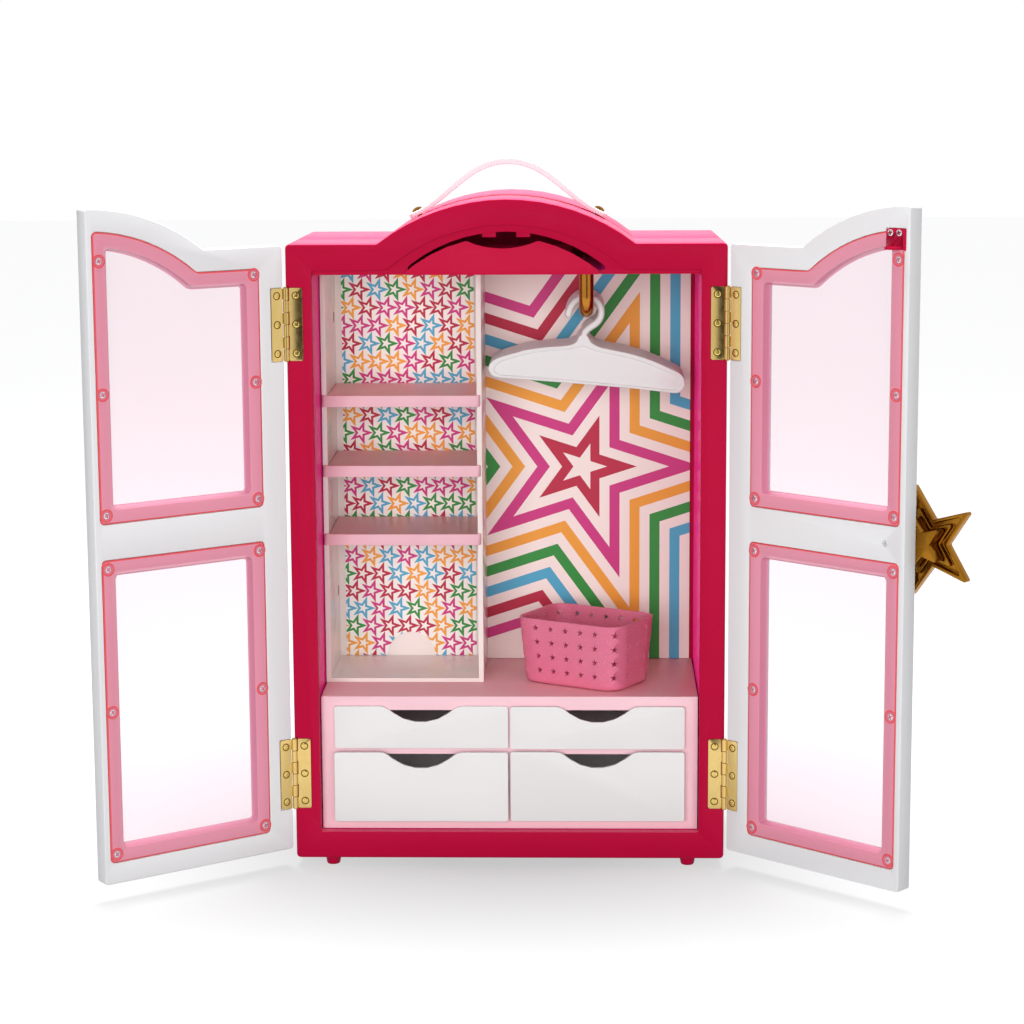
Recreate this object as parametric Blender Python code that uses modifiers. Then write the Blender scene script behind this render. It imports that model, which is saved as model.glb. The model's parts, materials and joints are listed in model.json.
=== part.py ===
"""A doll's wardrobe: an arched cabinet with two window doors that open past its sides,
four drawers, a tower of shelves, a rod with six hangers, a pull-out top tray and a carry
strap. Metres, +Z up. X runs to the right, Y runs from the front to the back, and the
origin is on the cabinet's underside, half way along its width and its depth."""

import math

import bmesh
import bpy
from mathutils import Matrix, Vector

for old in list(bpy.data.objects):
    bpy.data.objects.remove(old, do_unlink=True)

# Fits and cuts
GAP = 0.0003
OVERRUN = 0.003
WELD = 0.000001
FLAT_ANGLE = math.radians(0.2)

# Steps of round shapes
ARCH_STEPS = 16
CORNER_STEPS = 3
RIM_STEPS = 5
BARREL_SIDES = 12
ROUND_SIDES = 24
TUBE_ROUND = 4

# Cabinet shell, in two halves that meet at the seam
CABINET_WIDTH = 0.318
CABINET_DEPTH = 0.1425
SHOULDER_HEIGHT = 0.4567
ARCH_RADIUS = 0.1515
ARCH_TOP = 0.4886
SIDE_LEAN = 0.004
SHELL_CORNER = 0.003
VALLEY_CORNER = 0.004
SHELL_EDGE = 0.0015
SHELL_WALL = 0.0025
FRONT_WALL = 0.0065
SEAM_DEPTH = 0.052

# Opening, recess and crescent mouth in the front
RAIL_WIDTH = 0.0186
SILL_HEIGHT = 0.0202
OPENING_TOP = 0.4343
OPENING_CORNER = 0.002
RECESS_DEPTH = 0.004
RECESS_TOP = 0.4378
RECESS_RIM = 0.0185
MOUTH_RADIUS = 0.1133
MOUTH_RIM = 0.0236
MOUTH_SILL = 0.0025
MOUTH_CORNER = 0.002
KEEPER_WIDTH = 0.010
KEEPER_SPREAD = 0.0123
KEEPER_DROP = 0.0034
KEEPER_DEPTH = 0.003
KEEPER_FRONT = 0.0048

# Liner, the box that lines the inside
LINER_SETBACK = 0.0003
LINER_WALL = 0.0025
GUIDE_HEIGHT = 0.004
GUIDE_WALL = 0.002
GUIDE_SPREAD = 0.0545

# Top tray, with the valance as its front
TRAY_OFFSET = -0.0027
TRAY_FRONT_RADIUS = 0.110
TRAY_FRONT_THICKNESS = 0.003
TRAY_TIP_RADIUS = 0.0015
TRAY_PEAK_RADIUS = 0.003
TRAY_SCOOP_RADIUS = 0.0636
TRAY_SCOOP_LOW = 0.0188
TRAY_WIDTH = 0.102
TRAY_LENGTH = 0.104
TRAY_WALL = 0.002
TRAY_HEIGHT = 0.0114

# Drawer chest and its four drawers
CHEST_SETBACK = 0.0096
CHEST_SIDE_GAP = 0.001
CHEST_HEIGHT = 0.1011
CHEST_BACK_WALL = 0.003
CHEST_POST = 0.0066
CHEST_SIDE_WALL = 0.0099
UPPER_CELL = (0.0651, 0.0906)
LOWER_CELL = (0.0103, 0.0571)
DRAWER_FRONT_THICKNESS = 0.0026
DRAWER_MEET = 0.0008
DRAWER_SIDE_MARGIN = 0.0098
UPPER_FRONT = (0.0622, 0.0942)
LOWER_FRONT = (0.0076, 0.0604)
DRAWER_CORNER = 0.002
DRAWER_PLAY = 0.0005
DRAWER_LENGTH = 0.1203
DRAWER_WALL = 0.002
UPPER_BOX_HEIGHT = 0.0222
LOWER_BOX_HEIGHT = 0.0448
SCOOP_DEPTH = 0.0121
SCOOP_BOTTOM_RADIUS = 0.034
SCOOP_SHOULDER_RADIUS = 0.012
SCOOP_SLOPE = math.radians(37)
UPPER_LEFT_OUT = 0.0
UPPER_RIGHT_OUT = 0.0014
LOWER_RIGHT_OUT = 0.0044
LOWER_LEFT_OUT = 0.0058

# Shelf tower, its card and its three shelves
TOWER_SIDE_GAP = 0.0008
TOWER_BACK_GAP = 0.0022
TOWER_WIDTH_SHARE = 0.424
TOWER_DEPTH = 0.0822
TOWER_WALL = 0.0036
TOWER_PLATE = 0.0029
TOWER_BACK_WALL = 0.002
TOWER_SLOT_WIDTH = 0.005
TOWER_SLOT_HEIGHT = 0.008
TOWER_SLOT_SETBACK = 0.010
TOWER_SLOTS = (0.0575, 0.271)
SHELF_HEIGHTS = {"bottom": 0.1147, "middle": 0.1666, "top": 0.2193}
SHELF_PLATE = 0.0025
SHELF_LIP_HEIGHT = 0.0084
SHELF_LIP_DEPTH = 0.004
SHELF_LIP_RELIEF = 0.001
SHELF_LIP_CORNER = 0.0035
SHELF_RELIEF = 0.0004
LEDGE_WIDTH = 0.003
LEDGE_HEIGHT = 0.002
CARD_THICKNESS = 0.001
CARD_SIDE_GAP = 0.0049
CARD_CUT_RADIUS = 0.019

# Printed panel behind the hanging space
PANEL_THICKNESS = 0.0012
PANEL_TUCK = 0.0009
PANEL_SIDE_GAP = 0.0032

# Rod
ROD_RADIUS = 0.00535
ROD_OFFSET = 0.00245
ROD_SETBACK = 0.040
ROD_DROP = 0.0304
ROD_BEND = 0.012
ROD_HEAD = 0.0022

# Hangers
HANGER_COUNT = 6
HANGER_LEAD = 0.010
HANGER_PITCH_SHARE = 0.114
HANGER_THICKNESS = 0.005
HANGER_TILT = math.radians(5.2)
HOOK_INNER_RADIUS = 0.008
HOOK_WIDTH = 0.006
HOOK_START = math.radians(186)
HOOK_END = math.radians(-48)
NECK_X = -0.0014
NECK_Z = -0.019
NECK_FILLET = 0.0025
HANGER_CENTRE_X = 0.0042
HANGER_TOP = -0.022
HANGER_END_HEIGHT = 0.0151
HANGER_SIDE_ROOM = 0.00705
HANGER_CROWN_SHARE = 1.943
HANGER_SHOULDER_RADIUS = 0.006
HANGER_END_RADIUS = 0.0085
HANGER_RIM = 0.0038
HANGER_RECESS = 0.001

# Basket
BASKET_OFFSET = 0.00295
BASKET_SETBACK = 0.0628
BASKET_TURN = math.radians(-30)
BASKET_RIM = (0.090, 0.0645, 0.010)
BASKET_BASE = (0.083, 0.056, 0.010)
BASKET_HEIGHT = 0.0502
BASKET_WALL = 0.0018

# Carry strap and its rivets
STRAP_SETBACK = 0.0622
STRAP_WIDTH = 0.019
STRAP_THICKNESS = 0.0033
STRAP_TOP = 0.5157
STRAP_END_X = 0.0732
STRAP_LIFT_X = 0.066
STRAP_END_HANDLE = 0.0244
STRAP_TOP_HANDLE = 0.030
STRAP_STEPS = 12
RIVET_X = 0.0655
RIVET_HEAD_RADIUS = 0.004
RIVET_HEAD_HEIGHT = 0.0024
RIVET_SHANK_RADIUS = 0.002

# Feet
FOOT_RADIUS = 0.0055
FOOT_TIP_RADIUS = 0.0048
FOOT_HEIGHT = 0.007
FOOT_SEAT_DEPTH = 0.0008
FOOT_SIDE_MARGIN = 0.0265
FOOT_END_MARGIN = 0.011

# Hinges
HINGE_PROUD = 0.0003
HINGE_HEIGHT = 0.0528
HINGE_CENTRES = {"upper": 0.39905, "lower": 0.065}
KNUCKLES = 6
BARREL_RADIUS = 0.0021
PIN_RADIUS = 0.0011
PIN_HEAD_RADIUS = 0.0018
PIN_HEAD_HEIGHT = 0.0006
LEAF_START = 0.0025
LEAF_WIDTH = 0.0094
LEAF_THICKNESS = 0.0011
LEAF_CORNER = 0.002

# Doors
DOOR_THICKNESS = 0.0129
DOOR_REST_GAP = 0.0006
DOOR_HINGE_GAP = 0.0024
DOOR_MEET = 0.0013
DOOR_BOTTOM = 0.0078
DOOR_DROP = 0.0008
DOOR_CORNER = 0.002
LEFT_OPEN = math.radians(142.7)
RIGHT_OPEN = math.radians(137.9)
HINGE_STILE = 0.0192
FREE_STILE = 0.0048
TOP_RAIL = 0.0157
BOTTOM_RAIL = 0.0155
CROSSPIECE_MIDDLE = 0.2552
CROSSPIECE_WIDTH = 0.0258
WINDOW_CORNER = 0.0035

# Window inserts
FLANGE_THICKNESS = 0.002
FLANGE_WIDTH = 0.0105
STEP_WALL = 0.0018
PANE_DEPTH = 0.0063
PANE_THICKNESS = 0.0017
BOSS_RADIUS = 0.0068
BOSS_INSET = 0.0045
BOSS_END_INSET = 0.0062
BOSS_ARCH_DROP = 0.0195
UPPER_BOSS_MIDDLE = 0.3592

# Catch on the right door
CATCH_NEAR = 0.0048
CATCH_WIDTH = 0.0166
CATCH_HIGH = 0.4728
CATCH_LOW = 0.4581
CATCH_PLATE = 0.0023
CATCH_CORNER = 0.003
TONGUE_NEAR = 0.008
TONGUE_WIDTH = 0.010
TONGUE_LENGTH = 0.0065
TONGUE_THICKNESS = 0.002

# Star latch on the right door
STAR_PAST_EDGE = 0.0015
STAR_RADIUS = 0.0435
STAR_SHARE = 0.40
STAR_TIP_ROUND = 0.0013
STAR_PROUD = 0.0108
STAR_THICKNESS = 0.0056
STAR_POCKET = 0.0036
STAR_WALL = 0.0022
STAR_RIB = 0.0018
STAR_INNER_SHARE = 0.62
HUB_RADIUS = 0.0205
HUB_SHARE = 0.43
HUB_LOBE_RADIUS = 0.0052
SCREW_FROM_EDGE = 0.0166
SCREW_HEAD_RADIUS = 0.0021
SCREW_HEAD_HEIGHT = 0.002
SCREW_SHANK_RADIUS = 0.0013
SCREW_BITE = 0.006
SCREW_SINK = 0.0012

# Finishes: colour, roughness, metallic
FINISHES = {
    "raspberry": ((0.50, 0.004, 0.035), 0.32, 0.0),
    "raspberry_gloss": ((0.45, 0.004, 0.03), 0.12, 0.0),
    "pink": ((0.78, 0.46, 0.50), 0.45, 0.0),
    "white": ((0.80, 0.80, 0.80), 0.45, 0.0),
    "white_gloss": ((0.84, 0.83, 0.83), 0.15, 0.0),
    "window_pink": ((0.95, 0.72, 0.80), 0.25, 0.0),
    "basket_pink": ((0.82, 0.16, 0.28), 0.3, 0.0),
    "print": ((0.80, 0.68, 0.64), 0.35, 0.0),
    "gold": ((0.72, 0.45, 0.12), 0.25, 1.0),
    "brass": ((0.78, 0.55, 0.26), 0.3, 1.0),
    "silver": ((0.65, 0.65, 0.66), 0.25, 1.0),
}

half_width = CABINET_WIDTH / 2
front_y = -CABINET_DEPTH / 2
back_y = CABINET_DEPTH / 2
arch_centre_z = ARCH_TOP - ARCH_RADIUS
opening_half = half_width - RAIL_WIDTH

bay_half = opening_half + LINER_SETBACK
bay_floor = SILL_HEIGHT - LINER_SETBACK
bay_ceiling = OPENING_TOP
bay_front = front_y + FRONT_WALL + GAP
bay_back = back_y - SHELL_WALL - GAP

chest_bottom = bay_floor + GAP
chest_top = chest_bottom + CHEST_HEIGHT
chest_half = bay_half - CHEST_SIDE_GAP
chest_front = front_y + CHEST_SETBACK
chest_back = bay_back - GAP

tower_left = -bay_half + TOWER_SIDE_GAP
tower_right = tower_left + 2 * bay_half * TOWER_WIDTH_SHARE
tower_back = bay_back - TOWER_BACK_GAP
tower_front = tower_back - TOWER_DEPTH
tower_bottom = chest_top + GAP
tower_top = bay_ceiling - GAP

hanging_middle = (tower_right + bay_half) / 2
rod_x = hanging_middle - ROD_OFFSET
rod_z = bay_ceiling - ROD_DROP
rod_y = front_y + ROD_SETBACK
rod_run = bay_back - rod_y - ROD_BEND
hanger_half_span = (bay_half - tower_right) / 2 - HANGER_SIDE_ROOM
hanger_crown_radius = hanger_half_span * HANGER_CROWN_SHARE
hanger_sag = hanger_crown_radius - math.sqrt(hanger_crown_radius ** 2 - hanger_half_span ** 2)
hanger_bottom = HANGER_TOP - hanger_sag - HANGER_END_HEIGHT
foot_x = half_width - FOOT_SIDE_MARGIN
foot_setbacks = {"front": FOOT_END_MARGIN, "rear": CABINET_DEPTH - FOOT_END_MARGIN}
hinge_y = front_y - HINGE_PROUD
lower_window_top = CROSSPIECE_MIDDLE - CROSSPIECE_WIDTH / 2
upper_window_bottom = CROSSPIECE_MIDDLE + CROSSPIECE_WIDTH / 2

AXES = {
    "X": Matrix(((0, 0, 1, 0), (1, 0, 0, 0), (0, 1, 0, 0), (0, 0, 0, 1))),
    "Y": Matrix(((1, 0, 0, 0), (0, 0, -1, 0), (0, 1, 0, 0), (0, 0, 0, 1))),
    "Z": Matrix.Identity(4),
}
DIRECTIONS = {"X": Vector((1, 0, 0)), "Y": Vector((0, 1, 0)), "Z": Vector((0, 0, 1))}


def new_collection(name):
    made = bpy.data.collections.new(name)
    bpy.context.scene.collection.children.link(made)
    return made


PARTS = new_collection("doll_closet")
CUTTERS = new_collection("doll_closet_cutters")


def finish_material(name, finish):
    """A material of its own for one piece."""
    colour, roughness, metallic = FINISHES[finish]
    made = bpy.data.materials.new(name + "_finish")
    made.use_nodes = True
    shader = made.node_tree.nodes["Principled BSDF"]
    shader.inputs["Base Color"].default_value = (*colour, 1)
    shader.inputs["Roughness"].default_value = roughness
    shader.inputs["Metallic"].default_value = metallic
    made.diffuse_color = (*colour, 1)
    return made


def place(name, mesh, finish=None):
    """A mesh as a finished piece or, with no finish, as a cutter."""
    piece = bpy.data.objects.new(name, mesh)
    if finish is None:
        CUTTERS.objects.link(piece)
        piece.hide_render = True
        piece.display_type = "WIRE"
    else:
        PARTS.objects.link(piece)
        mesh.materials.append(finish_material(name, finish))
    return piece


def from_bmesh(name, bm, finish):
    mesh = bpy.data.meshes.new(name)
    bm.to_mesh(mesh)
    bm.free()
    return place(name, mesh, finish)


def from_curve(name, curve, placing, finish):
    """The solid of a curve as a mesh with its caps welded on."""
    drawn = bpy.data.objects.new(name + "_curve", curve)
    bpy.context.scene.collection.objects.link(drawn)
    drawn.matrix_world = placing
    bpy.context.view_layer.update()
    evaluated = drawn.evaluated_get(bpy.context.evaluated_depsgraph_get())
    mesh = bpy.data.meshes.new_from_object(evaluated)
    mesh.transform(drawn.matrix_world)
    bpy.data.objects.remove(drawn, do_unlink=True)
    bm = bmesh.new()
    bm.from_mesh(mesh)
    bmesh.ops.remove_doubles(bm, verts=bm.verts, dist=WELD)
    bmesh.ops.recalc_face_normals(bm, faces=bm.faces)
    bmesh.ops.dissolve_limit(bm, angle_limit=FLAT_ANGLE, verts=bm.verts, edges=bm.edges)
    bm.to_mesh(mesh)
    bm.free()
    return place(name, mesh, finish)


def prism(name, outlines, axis, low, high, finish=None):
    """An outline and its holes, carried along an axis from low to high."""
    curve = bpy.data.curves.new(name, "CURVE")
    curve.dimensions = "2D"
    curve.fill_mode = "BOTH"
    curve.extrude = (high - low) / 2
    for outline in outlines:
        spline = curve.splines.new("POLY")
        spline.points.add(len(outline) - 1)
        spline.use_cyclic_u = True
        for point, (across, up) in zip(spline.points, outline):
            point.co = (across, up, 0, 1)
    middle = DIRECTIONS[axis] * (low + high) / 2
    return from_curve(name, curve, Matrix.Translation(middle) @ AXES[axis], finish)


def tube(name, points, radius, finish):
    """A round bar along a list of points."""
    curve = bpy.data.curves.new(name, "CURVE")
    curve.dimensions = "3D"
    curve.bevel_depth = radius
    curve.bevel_resolution = TUBE_ROUND
    curve.use_fill_caps = True
    spline = curve.splines.new("POLY")
    spline.points.add(len(points) - 1)
    for point, place_of in zip(spline.points, points):
        point.co = (*place_of, 1)
    return from_curve(name, curve, Matrix.Identity(4), finish)


def block(name, low, high, finish=None):
    """A box between two corners."""
    low = Vector(low)
    high = Vector(high)
    shape = Matrix.Translation((low + high) / 2) @ Matrix.Diagonal((*(high - low), 1))
    bm = bmesh.new()
    bmesh.ops.create_cube(bm, size=1, matrix=shape)
    return from_bmesh(name, bm, finish)


def bar(name, radius, low, high, axis, centre, sides, finish=None):
    """A cylinder along an axis, through a centre given in the other two axes."""
    middle = Vector(centre)
    index = "XYZ".index(axis)
    middle[index] = (low + high) / 2
    bm = bmesh.new()
    bmesh.ops.create_cone(
        bm, cap_ends=True, segments=sides, radius1=radius, radius2=radius,
        depth=high - low, matrix=Matrix.Translation(middle) @ AXES[axis])
    return from_bmesh(name, bm, finish)


def turned(name, profile, sides, finish=None):
    """A round piece about its own Z axis, from a profile that runs top to bottom."""
    mesh = bpy.data.meshes.new(name)
    edges = [(step, step + 1) for step in range(len(profile) - 1)]
    mesh.from_pydata([(out, 0, up) for out, up in profile], edges, [])
    piece = place(name, mesh, finish)
    screw = piece.modifiers.new("Turn", "SCREW")
    screw.steps = sides
    screw.render_steps = sides
    screw.use_merge_vertices = True
    screw.merge_threshold = WELD
    screw.use_smooth_shade = False
    return piece


def combine(piece, tool, operation):
    """Cut a tool out of a piece or join it on; the tool follows the piece."""
    modifier = piece.modifiers.new(tool.name, "BOOLEAN")
    modifier.operation = operation
    modifier.solver = "EXACT"
    modifier.object = tool
    tool.parent = piece


def cut(piece, *tools):
    for tool in tools:
        combine(piece, tool, "DIFFERENCE")


def join(piece, *tools):
    for tool in tools:
        combine(piece, tool, "UNION")


def soften(piece, width, chosen):
    """Round the edges whose two ends are both chosen."""
    mesh = piece.data
    weights = mesh.attributes.new("bevel_weight_edge", "FLOAT", "EDGE")
    for edge in mesh.edges:
        ends = [mesh.vertices[corner].co for corner in edge.vertices]
        weights.data[edge.index].value = float(all(chosen(end) for end in ends))
    bevel = piece.modifiers.new("Soft edges", "BEVEL")
    bevel.limit_method = "WEIGHT"
    bevel.width = width
    bevel.segments = 2
    bevel.use_clamp_overlap = True


def arc(centre_x, centre_z, radius, start, end, steps):
    """Points along an arc, both ends among them."""
    turn = (end - start) / steps
    angles = [start + turn * step for step in range(steps + 1)]
    return [(centre_x + radius * math.cos(a), centre_z + radius * math.sin(a)) for a in angles]


def chord(radius, rise):
    """Half the width of a circle at a height above its centre."""
    return math.sqrt(radius * radius - rise * rise)


def rounded(corners, steps=CORNER_STEPS):
    """A closed outline from corners (x, z, radius), each rounded by its own radius."""
    outline = []
    count = len(corners)
    for index, (x, z, radius) in enumerate(corners):
        corner = Vector((x, z))
        if radius <= 0:
            outline.append((x, z))
            continue
        before = Vector(corners[index - 1][:2]) - corner
        after = Vector(corners[(index + 1) % count][:2]) - corner
        before.normalize()
        after.normalize()
        half = before.angle(after) / 2
        reach = radius / math.tan(half)
        centre = corner + (before + after).normalized() * radius / math.sin(half)
        first = corner + before * reach - centre
        last = corner + after * reach - centre
        start = math.atan2(first.y, first.x)
        turn = math.atan2(last.y, last.x) - start
        turn = (turn + math.pi) % (2 * math.pi) - math.pi
        outline += arc(centre.x, centre.y, radius, start, start + turn, steps)
    return outline


def rectangle(low_x, low_z, high_x, high_z, radius):
    """A rectangle with round corners."""
    places = ((low_x, low_z), (high_x, low_z), (high_x, high_z), (low_x, high_z))
    return rounded([(x, z, radius) for x, z in places])


def plain(points):
    """Points with no rounding, for use among corners."""
    return [(x, z, 0) for x, z in points]


def star(centre_x, centre_z, radius, share, tip_radius, turn=0.0):
    """A five-pointed star outline with its first tip at a turn from +X."""
    corners = []
    for step in range(10):
        reach = radius if step % 2 == 0 else radius * share
        angle = turn + math.pi * step / 5
        x = centre_x + reach * math.cos(angle)
        z = centre_z + reach * math.sin(angle)
        corners.append((x, z, tip_radius))
    return rounded(corners, steps=2)


def lean(piece):
    """Draw the sides in towards the back, as the shells' draft does."""
    for vertex in piece.data.vertices:
        depth_share = (vertex.co.y - front_y) / CABINET_DEPTH
        vertex.co.x *= 1 - SIDE_LEAN / half_width * depth_share


def arched_outline(inset, corner):
    """The cabinet's arched front, drawn in by an even inset."""
    side = half_width - inset
    shoulder = SHOULDER_HEIGHT - inset
    radius = ARCH_RADIUS - inset
    rise = shoulder - arch_centre_z
    reach = chord(radius, rise)
    start = math.atan2(rise, reach)
    crown = arc(0, arch_centre_z, radius, start, math.pi - start, ARCH_STEPS)
    corners = [(-side, inset, corner), (side, inset, corner), (side, shoulder, corner)]
    corners += [(reach, shoulder, VALLEY_CORNER)]
    corners += plain(crown[1:-1])
    corners += [(-reach, shoulder, VALLEY_CORNER), (-side, shoulder, corner)]
    return rounded(corners)


def recess_outline():
    """The shallow pocket round the opening, with its own arch."""
    radius = ARCH_RADIUS - RECESS_RIM
    rise = RECESS_TOP - arch_centre_z
    reach = chord(radius, rise)
    start = math.atan2(rise, reach)
    crown = arc(0, arch_centre_z, radius, start, math.pi - start, ARCH_STEPS)
    middle = (SILL_HEIGHT + OPENING_TOP) / 2
    corners = [(-opening_half, middle, 0), (opening_half, middle, 0)]
    corners += [(opening_half, RECESS_TOP, OPENING_CORNER)]
    corners += plain(crown)
    corners += [(-opening_half, RECESS_TOP, OPENING_CORNER)]
    return rounded(corners)


def crescent(centre_x, radius, crown, bottom, tip_radius, steps):
    """The part of a disc above a level line, with round tips."""
    centre_z = crown - radius
    reach = chord(radius, bottom - centre_z)
    start = math.atan2(bottom - centre_z, reach)
    points = arc(centre_x, centre_z, radius, start, math.pi - start, steps)
    corners = [(*points[-1], tip_radius), (*points[0], tip_radius)]
    return corners + plain(points[1:-1])


mouth_crown = ARCH_TOP - MOUTH_RIM
mouth_bottom = bay_ceiling + MOUTH_SILL
mouth_centre_z = mouth_crown - MOUTH_RADIUS


def hinge_pocket(name, side, centre_z):
    """The room for a hinge in the cabinet's front: a leaf pocket and a barrel notch."""
    near = half_width - LEAF_START / 2
    far = half_width - LEAF_START - LEAF_WIDTH - GAP
    half = HINGE_HEIGHT / 2 + GAP
    edges = sorted((side * near, side * far))
    deep = front_y + LEAF_THICKNESS + GAP
    pocket = block(name + "_pocket", (edges[0], front_y - OVERRUN, centre_z - half),
                   (edges[1], deep, centre_z + half))
    reach = half + PIN_HEAD_HEIGHT + GAP
    notch = bar(name + "_notch", BARREL_RADIUS + GAP, centre_z - reach, centre_z + reach, "Z",
                (side * half_width, hinge_y, 0), BARREL_SIDES)
    return pocket, notch


def cut_foot_seats(piece, end):
    """The two shallow round seats that a shell half has for its feet."""
    for side, hand in ((-1, "left"), (1, "right")):
        cut(piece, bar("foot_seat_" + end + "_" + hand, FOOT_RADIUS + GAP, -OVERRUN,
                       FOOT_SEAT_DEPTH, "Z", (side * foot_x, front_y + foot_setbacks[end], 0),
                       ROUND_SIDES // 2))


def make_front_frame():
    piece = prism("front_frame", [arched_outline(0, SHELL_CORNER)], "Y",
                  front_y, front_y + SEAM_DEPTH, "raspberry")
    soften(piece, SHELL_EDGE, lambda at: at.y < front_y + SHELL_EDGE)
    lean(piece)
    hollow = prism("front_frame_hollow", [arched_outline(SHELL_WALL, SHELL_CORNER)], "Y",
                   front_y + FRONT_WALL, front_y + SEAM_DEPTH + OVERRUN)
    lean(hollow)
    opening = rectangle(-opening_half, SILL_HEIGHT, opening_half, OPENING_TOP, OPENING_CORNER)
    through = (front_y - OVERRUN, front_y + FRONT_WALL + OVERRUN)
    cut(piece, hollow)
    cut(piece, prism("front_frame_opening", [opening], "Y", *through))
    cut(piece, prism("front_frame_recess", [recess_outline()], "Y",
                     front_y - OVERRUN, front_y + RECESS_DEPTH))
    mouth = rounded(crescent(0, MOUTH_RADIUS, mouth_crown, mouth_bottom, MOUTH_CORNER,
                             ARCH_STEPS))
    cut(piece, prism("front_frame_mouth", [mouth], "Y", *through))
    for side in (-1, 1):
        middle = side * KEEPER_SPREAD
        low = mouth_centre_z + chord(MOUTH_RADIUS, KEEPER_SPREAD) - KEEPER_DROP
        keeper = block("keeper_left" if side < 0 else "keeper_right",
                       (middle - KEEPER_WIDTH / 2, front_y + KEEPER_FRONT, low),
                       (middle + KEEPER_WIDTH / 2, front_y + KEEPER_FRONT + KEEPER_DEPTH,
                        mouth_crown + OVERRUN))
        join(piece, keeper)
    for side, hand in ((-1, "left"), (1, "right")):
        for level, centre_z in HINGE_CENTRES.items():
            cut(piece, *hinge_pocket(hand + "_" + level + "_hinge", side, centre_z))
    cut_foot_seats(piece, "front")


def strap_normal(x):
    """The arch's outward direction at a distance from its middle."""
    return Vector((x, 0, chord(ARCH_RADIUS, x))).normalized()


def rivet_frame(side):
    """Where a rivet stands: its Z along the arch's outward direction."""
    normal = strap_normal(side * RIVET_X)
    seat = Vector((0, front_y + STRAP_SETBACK, arch_centre_z)) + normal * ARCH_RADIUS
    tilt = Vector((0, 0, 1)).rotation_difference(normal).to_matrix().to_4x4()
    return Matrix.Translation(seat) @ tilt


def rivet_hole(name, side):
    long = STRAP_THICKNESS + SHELL_WALL + OVERRUN
    hole = bar(name, RIVET_SHANK_RADIUS + GAP, -long, long, "Z", (0, 0, 0), BARREL_SIDES)
    hole.data.transform(rivet_frame(side))
    return hole


def make_rear_shell():
    piece = prism("rear_shell", [arched_outline(0, SHELL_CORNER)], "Y",
                  front_y + SEAM_DEPTH + GAP, back_y, "raspberry")
    soften(piece, SHELL_EDGE, lambda at: at.y > back_y - SHELL_EDGE)
    lean(piece)
    hollow = prism("rear_shell_hollow", [arched_outline(SHELL_WALL, SHELL_CORNER)], "Y",
                   front_y + SEAM_DEPTH - OVERRUN, back_y - SHELL_WALL)
    lean(hollow)
    cut(piece, hollow, rivet_hole("shell_rivet_hole_left", -1),
        rivet_hole("shell_rivet_hole_right", 1))
    cut_foot_seats(piece, "rear")


def make_liner():
    inside = rectangle(-bay_half, bay_floor, bay_half, bay_ceiling, 0)
    outside = rectangle(-bay_half - LINER_WALL, bay_floor - LINER_WALL,
                        bay_half + LINER_WALL, bay_ceiling + LINER_WALL, 0)
    piece = prism("inner_liner", [outside, inside], "Y", bay_front, bay_back,
                  "raspberry_gloss")
    top = bay_ceiling + LINER_WALL
    for side, hand in ((-1, "left"), (1, "right")):
        edges = sorted((side * GUIDE_SPREAD, side * (GUIDE_SPREAD + GUIDE_WALL)))
        guide = block("tray_guide_" + hand, (edges[0], bay_front + GAP, top - LINER_WALL / 2),
                      (edges[1], bay_front + TRAY_LENGTH, top + GUIDE_HEIGHT))
        join(piece, guide)
    cut(piece, bar("liner_rod_hole", ROD_RADIUS + GAP, bay_ceiling - OVERRUN,
                   top + GUIDE_HEIGHT + OVERRUN, "Z", (rod_x, rod_y, 0), ROUND_SIDES))


def make_top_tray():
    plate_front = front_y + RECESS_DEPTH - GAP - TRAY_FRONT_THICKNESS
    plate_back = plate_front + TRAY_FRONT_THICKNESS
    centre_z = mouth_centre_z
    scoop_low = bay_ceiling + TRAY_SCOOP_LOW
    scoop_centre = scoop_low + TRAY_SCOOP_RADIUS
    apart = scoop_centre - centre_z
    peak_z = centre_z + (apart * apart + TRAY_FRONT_RADIUS ** 2
                         - TRAY_SCOOP_RADIUS ** 2) / (2 * apart)
    peak_x = chord(TRAY_FRONT_RADIUS, peak_z - centre_z)
    tip_x = chord(TRAY_FRONT_RADIUS, bay_ceiling - centre_z)
    start = math.atan2(bay_ceiling - centre_z, tip_x)
    end = math.atan2(peak_z - centre_z, peak_x)
    flank = arc(0, centre_z, TRAY_FRONT_RADIUS, start, end, ARCH_STEPS // 4)
    dip = math.atan2(peak_z - scoop_centre, peak_x)
    scoop = arc(0, scoop_centre, TRAY_SCOOP_RADIUS, dip, -math.pi - dip, ARCH_STEPS // 2)
    right = [(*flank[0], TRAY_TIP_RADIUS)] + plain(flank[1:-1])
    right += [(*flank[-1], TRAY_PEAK_RADIUS)]
    left = [(-x, z, radius) for x, z, radius in reversed(right)]
    corners = right + plain(scoop[1:-1]) + left
    corners = [(x + TRAY_OFFSET, z, radius) for x, z, radius in corners]
    piece = prism("top_tray", [rounded(corners)], "Y", plate_front, plate_back, "raspberry")
    floor = bay_ceiling + LINER_WALL + GAP
    side = TRAY_WIDTH / 2
    box = block("top_tray_box", (TRAY_OFFSET - side, plate_front + TRAY_FRONT_THICKNESS / 2,
                                 floor),
                (TRAY_OFFSET + side, plate_back + TRAY_LENGTH, floor + TRAY_HEIGHT))
    hollow = block("top_tray_hollow",
                   (TRAY_OFFSET - side + TRAY_WALL, plate_back, floor + TRAY_WALL),
                   (TRAY_OFFSET + side - TRAY_WALL, plate_back + TRAY_LENGTH - TRAY_WALL,
                    floor + TRAY_HEIGHT + OVERRUN))
    join(piece, box)
    cut(piece, hollow)


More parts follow.
